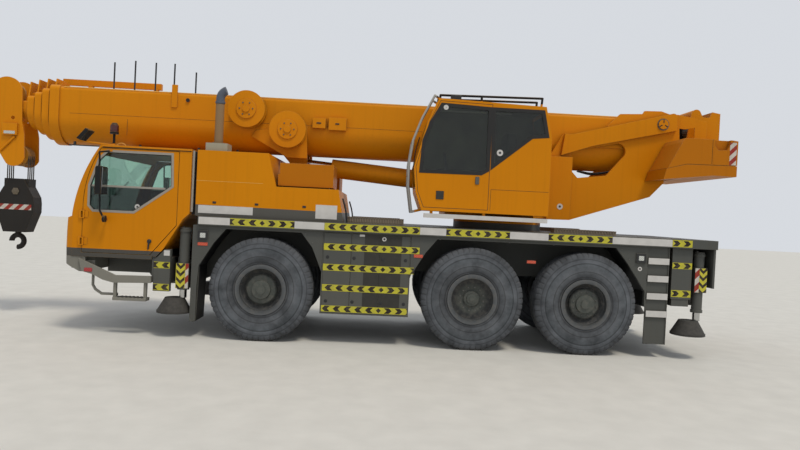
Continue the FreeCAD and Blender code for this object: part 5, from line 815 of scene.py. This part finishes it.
for side, sign in SIDES:
    y = 0.62 * sign
    cushion(side + "_seat_pad", "carrier", (2.80, y, 1.54), (0.58, 0.56, 0.15))
    cushion(side + "_seat_back", "carrier", (2.53, y, 1.905), (0.15, 0.54, 0.80))
    cushion(side + "_head_rest", "carrier", (2.53, y, 2.30), (0.11, 0.27, 0.16))
cushion("crane_seat_pad", "superstructure", (-2.02, 0.885, 2.42), (0.56, 0.56, 0.15))
cushion("crane_seat_back", "superstructure", (-2.32, 0.885, 2.76), (0.15, 0.54, 0.84))

# Walkways on the deck: folded aluminium casings with a grid top, browned by dust, over the hydraulic lines, and
# the black stays that hold up the hood's front edge.
walk_casing = painted_steel("dusty_aluminium_casing", "#8C7F6E", "#9C8E7C", "#B7A992", worn="#CDC4B4")
WALK_INNER, WALK_OUTER = 0.80, 1.022
WALK_GRID = 22
for name, front, rear, high in (("front_walkway", 0.03, -0.80, 1.842), ("rear_walkway", -3.04, -3.97, 1.815)):
    pitch = (front - rear) / WALK_GRID
    for side, sign in SIDES:
        inner, outer = WALK_INNER * sign, WALK_OUTER * sign
        put(name + "_" + side, "carrier", walk_casing,
            block((rear, front), (inner + 0.005 * sign, outer - 0.010 * sign), (1.748, high - 0.008)),
            block((rear, front), (inner, outer), (high - 0.012, high)),
            *[block((rear + pitch * cell - 0.006, rear + pitch * cell + 0.006), (inner, outer), (1.77, high))
              for cell in range(1, WALK_GRID)])
put("hood_stay", "carrier", moulded_black,
    *[tube(eased([(0.105, y, 2.10), (0.05, y, 1.93), (0.03, y, 1.75)], 0.08), 0.013, 10) for y in (1.12, -1.12)])

# Engine hood: riveted sheet panels in orange over a grey lower band, pressed door lines, rubber seals at the gap
# to the cab and a light air pipe in that gap.
dress(painted_steel("orange_hood_with_grey_band", "#D98903", "#CE7F04", ORANGE[2],
                    band=(1.8915, 0.0092, "#5A5955"), worn=RUBBED_ORANGE), "engine_hood")
HOOD_SIDE = 1.22
put("hood_blank_plates", "carrier", white_tape, plate((1.374, 2.150), HOOD_SIDE, (1.792, 1.905), 0.002, 0.0),
    plate((0.172, 0.480), HOOD_SIDE, (1.790, 1.990), 0.002, 0.0), bevel=0.0008)
for side, sign in SIDES:
    face = HOOD_SIDE * sign
    # A painted highlight: a thin light yellow line along the hood side.
    put(side + "_hood_painted_highlight", "carrier", yellow_rod_and_highlight, plate((1.245, 2.19), face, (2.2515, 2.2555), 0.0012, 0.002))
    put(side + "_hood_front_seal", "carrier", black_seal_and_shadow,
        block((2.188, 2.262), (1.10 * sign, 1.135 * sign), (1.76, 2.668)))
    put(side + "_air_pipe", "carrier", window_trim,
        tube([(2.246, 1.205 * sign, z) for z in np.linspace(1.80, 2.672, 8)], 0.019, 14))
    put(side + "_hood_latches", "carrier", moulded_black,
        *[plate((x, x + 0.05), face, (1.935, 1.965), 0.007) for x in (1.30, 1.90, 0.62)], bevel=0.003)

# Exhaust: a light grey-green sheet box on the hood and a heat-browned steel pipe with its clamp and a blued tip.
BOX_ON_HOOD = ((0, 0, -1), -2.817, "#A4A697")
PIPE_TIP = ((0, 0, 1), 3.40, "#5C6370")
dress(painted_steel("heat_browned_exhaust_steel", "#86694F", "#97805F", "#A89884", worn="#B5A58C",
                    parts_of=(BOX_ON_HOOD, PIPE_TIP)), "exhaust_stack")

# Deck and tail ballast: flame-cut steel slabs, painted orange, with red and white bars at the tail's corners.
# The slabs' darker, browner orange is partly dust and partly painted shade.
dress(painted_steel("dusty_shaded_orange_on_ballast", "#BE710A", "#B26A0C", "#CFA264", worn="#D9B27A"),
      "deck_ballast", "tail_ballast")
for side, sign in SIDES:
    put(side + "_ballast_red_white", "superstructure", hazard_tape,
        plate((-5.62, -5.52), 1.20 * sign, (2.87, 3.20), 0.002), flat=mapped(0, 2))
put("ballast_tail_red_white", "superstructure", hazard_tape,
    *[block((-5.643, -5.639), y, (2.90, 3.05)) for y in ((-1.15, -0.75), (0.75, 1.15))], flat=mapped(1, 2))

# Superstructure: two deep side plates with pin bosses, dusty orange, rubber hoses between them, and on each
# pivot pin a greased ring round a cap with three slots.
pin_steel = small_finish("greased_pin_steel", "#6E6455", 0.4, metallic=0.7, scale=50)
hose_rubber = small_finish("hydraulic_hose_rubber", "#1F1E1D", 0.55, scale=120)
PIVOT_X, PIVOT_Z = -4.78, 3.51
SLOT_CIRCLE = 0.05
SLOT_HALF_LENGTH, SLOT_HALF_WIDTH = 0.026, 0.007


def slot_outline(angle):
    """A rectangle that lies along the ray at this angle from the pivot."""
    out, over = np.array((math.cos(angle), math.sin(angle))), np.array((-math.sin(angle), math.cos(angle)))
    return [np.array((PIVOT_X, PIVOT_Z)) + out * (SLOT_CIRCLE + SLOT_HALF_LENGTH * long)
            + over * SLOT_HALF_WIDTH * wide for long, wide in ((-1, -1), (1, -1), (1, 1), (-1, 1))]


for side, sign in SIDES:
    put(side + "_pivot_cap_slots", "superstructure", black_seal_and_shadow,
        *[prism("y", 0.583 * sign, 0.588 * sign, slot_outline(angle)) for angle in (math.pi / 2, 3.67, 5.76)])
    put(side + "_pivot_cap_ring", "superstructure", pin_steel,
        stud(PIVOT_X, 0.56 * sign, PIVOT_Z, ((0.078, 0), (0.092, 0), (0.092, 0.009), (0.078, 0.009)), 32,
             loop=True))
ring_mark("left_panel_mark", "superstructure", -3.227, 0.562, 2.155, 0.046, 0.018)
put("boom_foot_hoses", "superstructure", hose_rubber,
    *[tube(eased([(-3.55, 0.32 - aside, 2.74), (-3.80, 0.34 - aside, 2.70 - 0.4 * aside),
                  (-4.25, 0.33 - aside, 2.80)], 0.2, 8), 0.013, 10) for aside in (0.0, 0.05)])
put("left_hose_post", "superstructure", window_trim,
    tube([(-2.95, 0.535, z) for z in np.linspace(2.93, 3.20, 4)], 0.014, 10))

# Crane cab: orange shell with big smoke-tinted windows in black rubber, white non-slip step board, black guard
# rails and a grey lamp.
ROOF_RAILS = ((0, 0, 1), 3.635, "#1E1F20")
SCREEN_RAILS = (((1, 0, 0.313), -0.045, "#A9A9A4"), ((1, 0, -0.111), -1.164, "#A9A9A4"))
dress(painted_steel("orange_crane_cab_with_rails", *ORANGE, worn=RUBBED_ORANGE,
                    parts_of=(ROOF_RAILS,) + SCREEN_RAILS), "crane_cab_shell")
dress(smoke_glass, "crane_cab_glass")
CAB_FACE = 1.27
SEAL_Y = (1.258, 1.2735)
LINE_Y = (1.2695, 1.2712)
INNER_Y = (0.552, 1.215)
CRANE_DOOR = [(-1.976, 2.600), (-1.874, 2.539), (-0.985, 2.532), (-1.011, 2.987), (-1.105, 3.253),
              (-1.256, 3.530), (-1.976, 3.502)]
CRANE_SIDE = [(-2.011, 2.627), (-1.996, 3.503), (-2.740, 3.500), (-2.820, 3.126), (-2.587, 3.101)]
CRANE_OUTLINE = [(-2.870, 1.985), (-1.035, 1.985), (-0.940, 2.240), (-0.900, 2.600), (-1.068, 3.271),
                 (-1.215, 3.605), (-2.770, 3.560), (-2.870, 3.105)]
DOOR_OUTLINE = [(-1.992, 2.03), (-1.06, 2.03), (-0.965, 2.26), (-0.925, 2.61), (-1.09, 3.26), (-1.235, 3.57),
                (-1.992, 3.553)]
HEADLINING = [(-2.74, 3.500), (-1.29, 3.542), (-1.29, 3.534), (-2.74, 3.492)]
BACK_LINING = [(-2.81, 2.06), (-2.81, 3.11), (-2.745, 3.49), (-2.737, 3.49), (-2.802, 3.11), (-2.802, 2.06)]
# The lining covers the cab's far side, where there are windows. It is lightened and mottled in big patches as
# painted light from those windows.
lining_with_painted_light = small_finish("grey_cab_lining_with_painted_light", "#6C6B58", 0.8, scale=3, spread=0.35, specular=0.2)
put("crane_cab_lining", "superstructure", lining_with_painted_light, prism("y", 0.545, 0.552, inset(CRANE_OUTLINE, 0.060)),
    prism("y", *INNER_Y, HEADLINING), prism("y", *INNER_Y, BACK_LINING))
put("crane_cab_window_seals", "superstructure", black_seal_and_shadow,
    *[lip(*SEAL_Y, inset(window, -0.010), 0.052) for window in (CRANE_DOOR, CRANE_SIDE)])
ring_mark("crane_cab_mark", "superstructure", -2.125, SEAL_Y[1], 2.865, 0.046, 0.018)
ring_mark("crane_cab_small_mark", "superstructure", -1.318, SEAL_Y[1], 3.475, 0.036, 0.004)
for name, finish, x, y, z, edge in (
        ("lock", dark_grey_and_recess_shade, (-1.345, -1.235), (1.268, 1.280), (2.155, 2.275), 0.004),
        ("latch", nut_steel, (-1.845, -1.790), (1.268, 1.284), (2.395, 2.505), 0.006),
        ("door_sun_bar", window_trim, (-1.93, -1.27), (1.19, 1.20), (3.425, 3.450), 0.002),
        ("side_sun_bar", window_trim, (-2.28, -2.05), (1.19, 1.20), (3.425, 3.450), 0.002),
        ("step_grip", white_tape, (-2.862, -1.076), (1.205, 1.2712), (1.8865, 1.9465), 0.0),
        ("lamp", moulded_black, (-1.55, -1.40), (1.0, 1.12), (3.60, 3.69), 0.01)):
    put("crane_cab_" + name, "superstructure", finish, block(x, y, z), bevel=edge)
put("crane_cab_side_line", "superstructure", black_seal_and_shadow, block((-2.86, -2.02), LINE_Y, (2.330, 2.334)),
    block((-2.024, -2.020), LINE_Y, (2.02, 2.334)))
put("crane_cab_console", "superstructure", cab_plastic, block((-1.62, -1.25), (0.62, 1.15), (2.02, 2.60)),
    tube([(-1.40, 0.80, 2.58), (-1.36, 0.80, 2.86)], 0.014),
    tube([(-1.40, 1.02, 2.58), (-1.36, 1.02, 2.84)], 0.014), bevel=0.02)
put("crane_cab_door_seam", "superstructure", black_seal_and_shadow, lip(1.269, LINE_Y[1], DOOR_OUTLINE, 0.006))
put("crane_cab_wiper", "superstructure", moulded_black,
    tube(eased([(-0.905, 0.88, 2.58), (-0.925, 0.93, 2.86), (-0.975, 1.0, 3.06)]), 0.007, 8))

# Winch: a welded drum with a full lay of galvanised wire rope.


def wire_rope(name):
    """Galvanised rope with grease: strands drawn as waves slanting across the rope, from its own UV in metres."""
    material, tree, _ = blank(name)
    flat = add(tree, "ShaderNodeUVMap", uv_map="flat").outputs[0]
    lay = add(tree, "ShaderNodeTexWave", {"Vector": flat, "Scale": 18.0}, bands_direction="DIAGONAL").outputs[1]
    return close(material, {"Base Color": mix(tree, lay, "#2C2A26", "#6B665C"), "Roughness": 0.5,
                            "Metallic": 0.6, "Normal": raised(tree, lay, 0.004, 0.6)})


rope_wire = wire_rope("greased_wire_rope")
dress(black_enamel, "winch_drum")
WINCH_X, WINCH_Z = -5.56, 3.52
LAY_HALF = 0.24
lay = [(0.113 + 0.011 * abs(math.sin(math.pi * step / 20)), at)
       for step, at in enumerate(np.linspace(-LAY_HALF, LAY_HALF, 241))][::3]
put("winch_rope_lay", "winch", rope_wire,
    turned("y", (WINCH_X, 0, WINCH_Z), [(0.10, -0.241)] + lay + [(0.10, 0.241)], 40), smooth=60,
    flat=lambda points: np.stack([np.arctan2(points[:, 2] - WINCH_Z, points[:, 0] - WINCH_X) * 0.12,
                                  points[:, 1]], axis=1))

# Boom: a folded and welded box base with four sections inside it. Each section ends in a collar with an upright
# plate and brown polyamide slide pads; the base carries two hose reels, boxes and the slender jib fittings.
slide_polyamide = small_finish("brown_polyamide_slide_pad", "#6B4A2E", 0.55, scale=40, spread=0.25)
dress(painted_steel("orange_boom_enamel", "#DC8B0B", "#D2820B", ORANGE[2], worn="#EBC06A"),
      "boom_base", *nodes("boom_section_"))
dress(moulded_black, "boom_rods")
dress(small_finish("ochre_cast_sheave", "#A5741F", 0.5, scale=25), "head_sheaves")
BOX_HALF = 0.3805
TOP_EDGE = (0.372, 3.6235)
for index, front in ((1, 4.835), (2, 4.968), (3, 5.101)):
    top = 3.630 - 0.058 * index
    put("section_%d_pads" % index, "section_%d" % index, slide_polyamide,
        *[block((front - 0.070, front - 0.025), (0.113 * sign, 0.187 * sign), (top + 0.01, top + 0.0735))
          for sign in (1, -1)], bevel=0.004)
# A painted highlight: thin light yellow tubes along both top edges of the boom.
put("boom_top_painted_highlight", "boom", yellow_rod_and_highlight,
    *[tube([(x, TOP_EDGE[0] * sign, TOP_EDGE[1]) for x in (-4.2, 0.0, 4.5)], 0.005, 8) for sign in (1, -1)])
put("boom_side_seams", "boom", black_seal_and_shadow,
    *[plate(x, BOX_HALF * sign, z, 0.0007) for x, z in (((3.512, 3.516), (2.92, 3.17)),
                                                        ((-1.5, 4.40), (3.219, 3.222))) for sign in (1, -1)])
HOSE_ROWS = 9
REEL_BACK, REEL_WIDTH = 0.426, 0.142
for index, (x, z) in enumerate(((1.663, 3.404), (1.026, 3.125)), 1):
    hose_pitch = REEL_WIDTH / HOSE_ROWS
    coil = [(0.235 + 0.5 * hose_pitch * abs(math.sin(math.pi * step / 8)),
             REEL_BACK + REEL_WIDTH * step / (8 * HOSE_ROWS)) for step in range(8 * HOSE_ROWS + 1)]
    put("reel_%d_hose" % index, "boom", hose_rubber,
        turned("y", (x, 0, z), [(0.185, 0.4262)] + coil + [(0.185, 0.5678)], 48), smooth=60)
    put("reel_%d_nuts" % index, "boom", nut_steel,
        *[stud(x + dx, 0.598, z + dz, ((0.011, 0), (0.011, 0.009), (0.008, 0.011)), 6)
          for dx, dz in around(0.10, 6)], smooth=20)
put("boom_cap_mark", "boom", black_seal_and_shadow, stud(2.601, 0.40, 3.511, ((0.030, -0.003), (0.030, 0.003)), 20))
put("boom_box_latches", "boom", moulded_black,
    *[block(x, (0.458, 0.468), (3.25, 3.27)) for x in ((0.53, 0.60), (0.25, 0.31))], bevel=0.003)
put("boom_lower_rods", "boom", moulded_black,
    tube([(x, 0.345, 2.735) for x in (4.40, 3.30, 1.75)], 0.009, 8),
    *[block((x, x + 0.03), (0.325, 0.36), (2.73, 2.79)) for x in (4.30, 3.30, 2.40, 1.80)])
put("head_lamp_lens", "section_4", clear_lens, block((5.27, 5.44), (0.2735, 0.279), (2.865, 2.91)), bevel=0.002)

# Luffing cylinder: orange barrel and a hard-chromed rod.
dress(hard_chrome, "luffing_cylinder_rod")

# Ropes and hook: eight falls of wire rope from the head sheaves to a fabricated black block with a black forged
# hook, and red and white tape on its cheeks.
HOOK_X = 5.30
FALLS = [(HOOK_X + dx, y) for dx in (-0.1593, 0.1593) for y in (-0.084, -0.028, 0.028, 0.084)]
falls = put("hoist_rope_falls", None, rope_wire,
            *[tube([(x, y, z) for z in np.linspace(2.1803, 2.545, 12)], 0.009, 12) for x, y in FALLS], smooth=60,
            flat=lambda points: np.stack([points[:, 2], (points[:, 0] + points[:, 1]) * 2.1], axis=1))
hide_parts("hoist_ropes")
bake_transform(falls)
dress(painted_steel("black_hook_block_enamel", "#2A2826", "#343230", "#6F6555", worn="#8F8674"), "hook_block")
for side, sign in SIDES:
    face = 0.125 * sign
    put(side + "_hook_red_white", "hook", hazard_tape, plate((5.05, 5.55), face, (1.69, 1.775)),
        flat=mapped(0, 2))
    put(side + "_hook_axle", "hook", pin_steel,
        stud(HOOK_X, face, 1.98, ((0.06, 0), (0.06, 0.012), (0.03, 0.018)), 6))
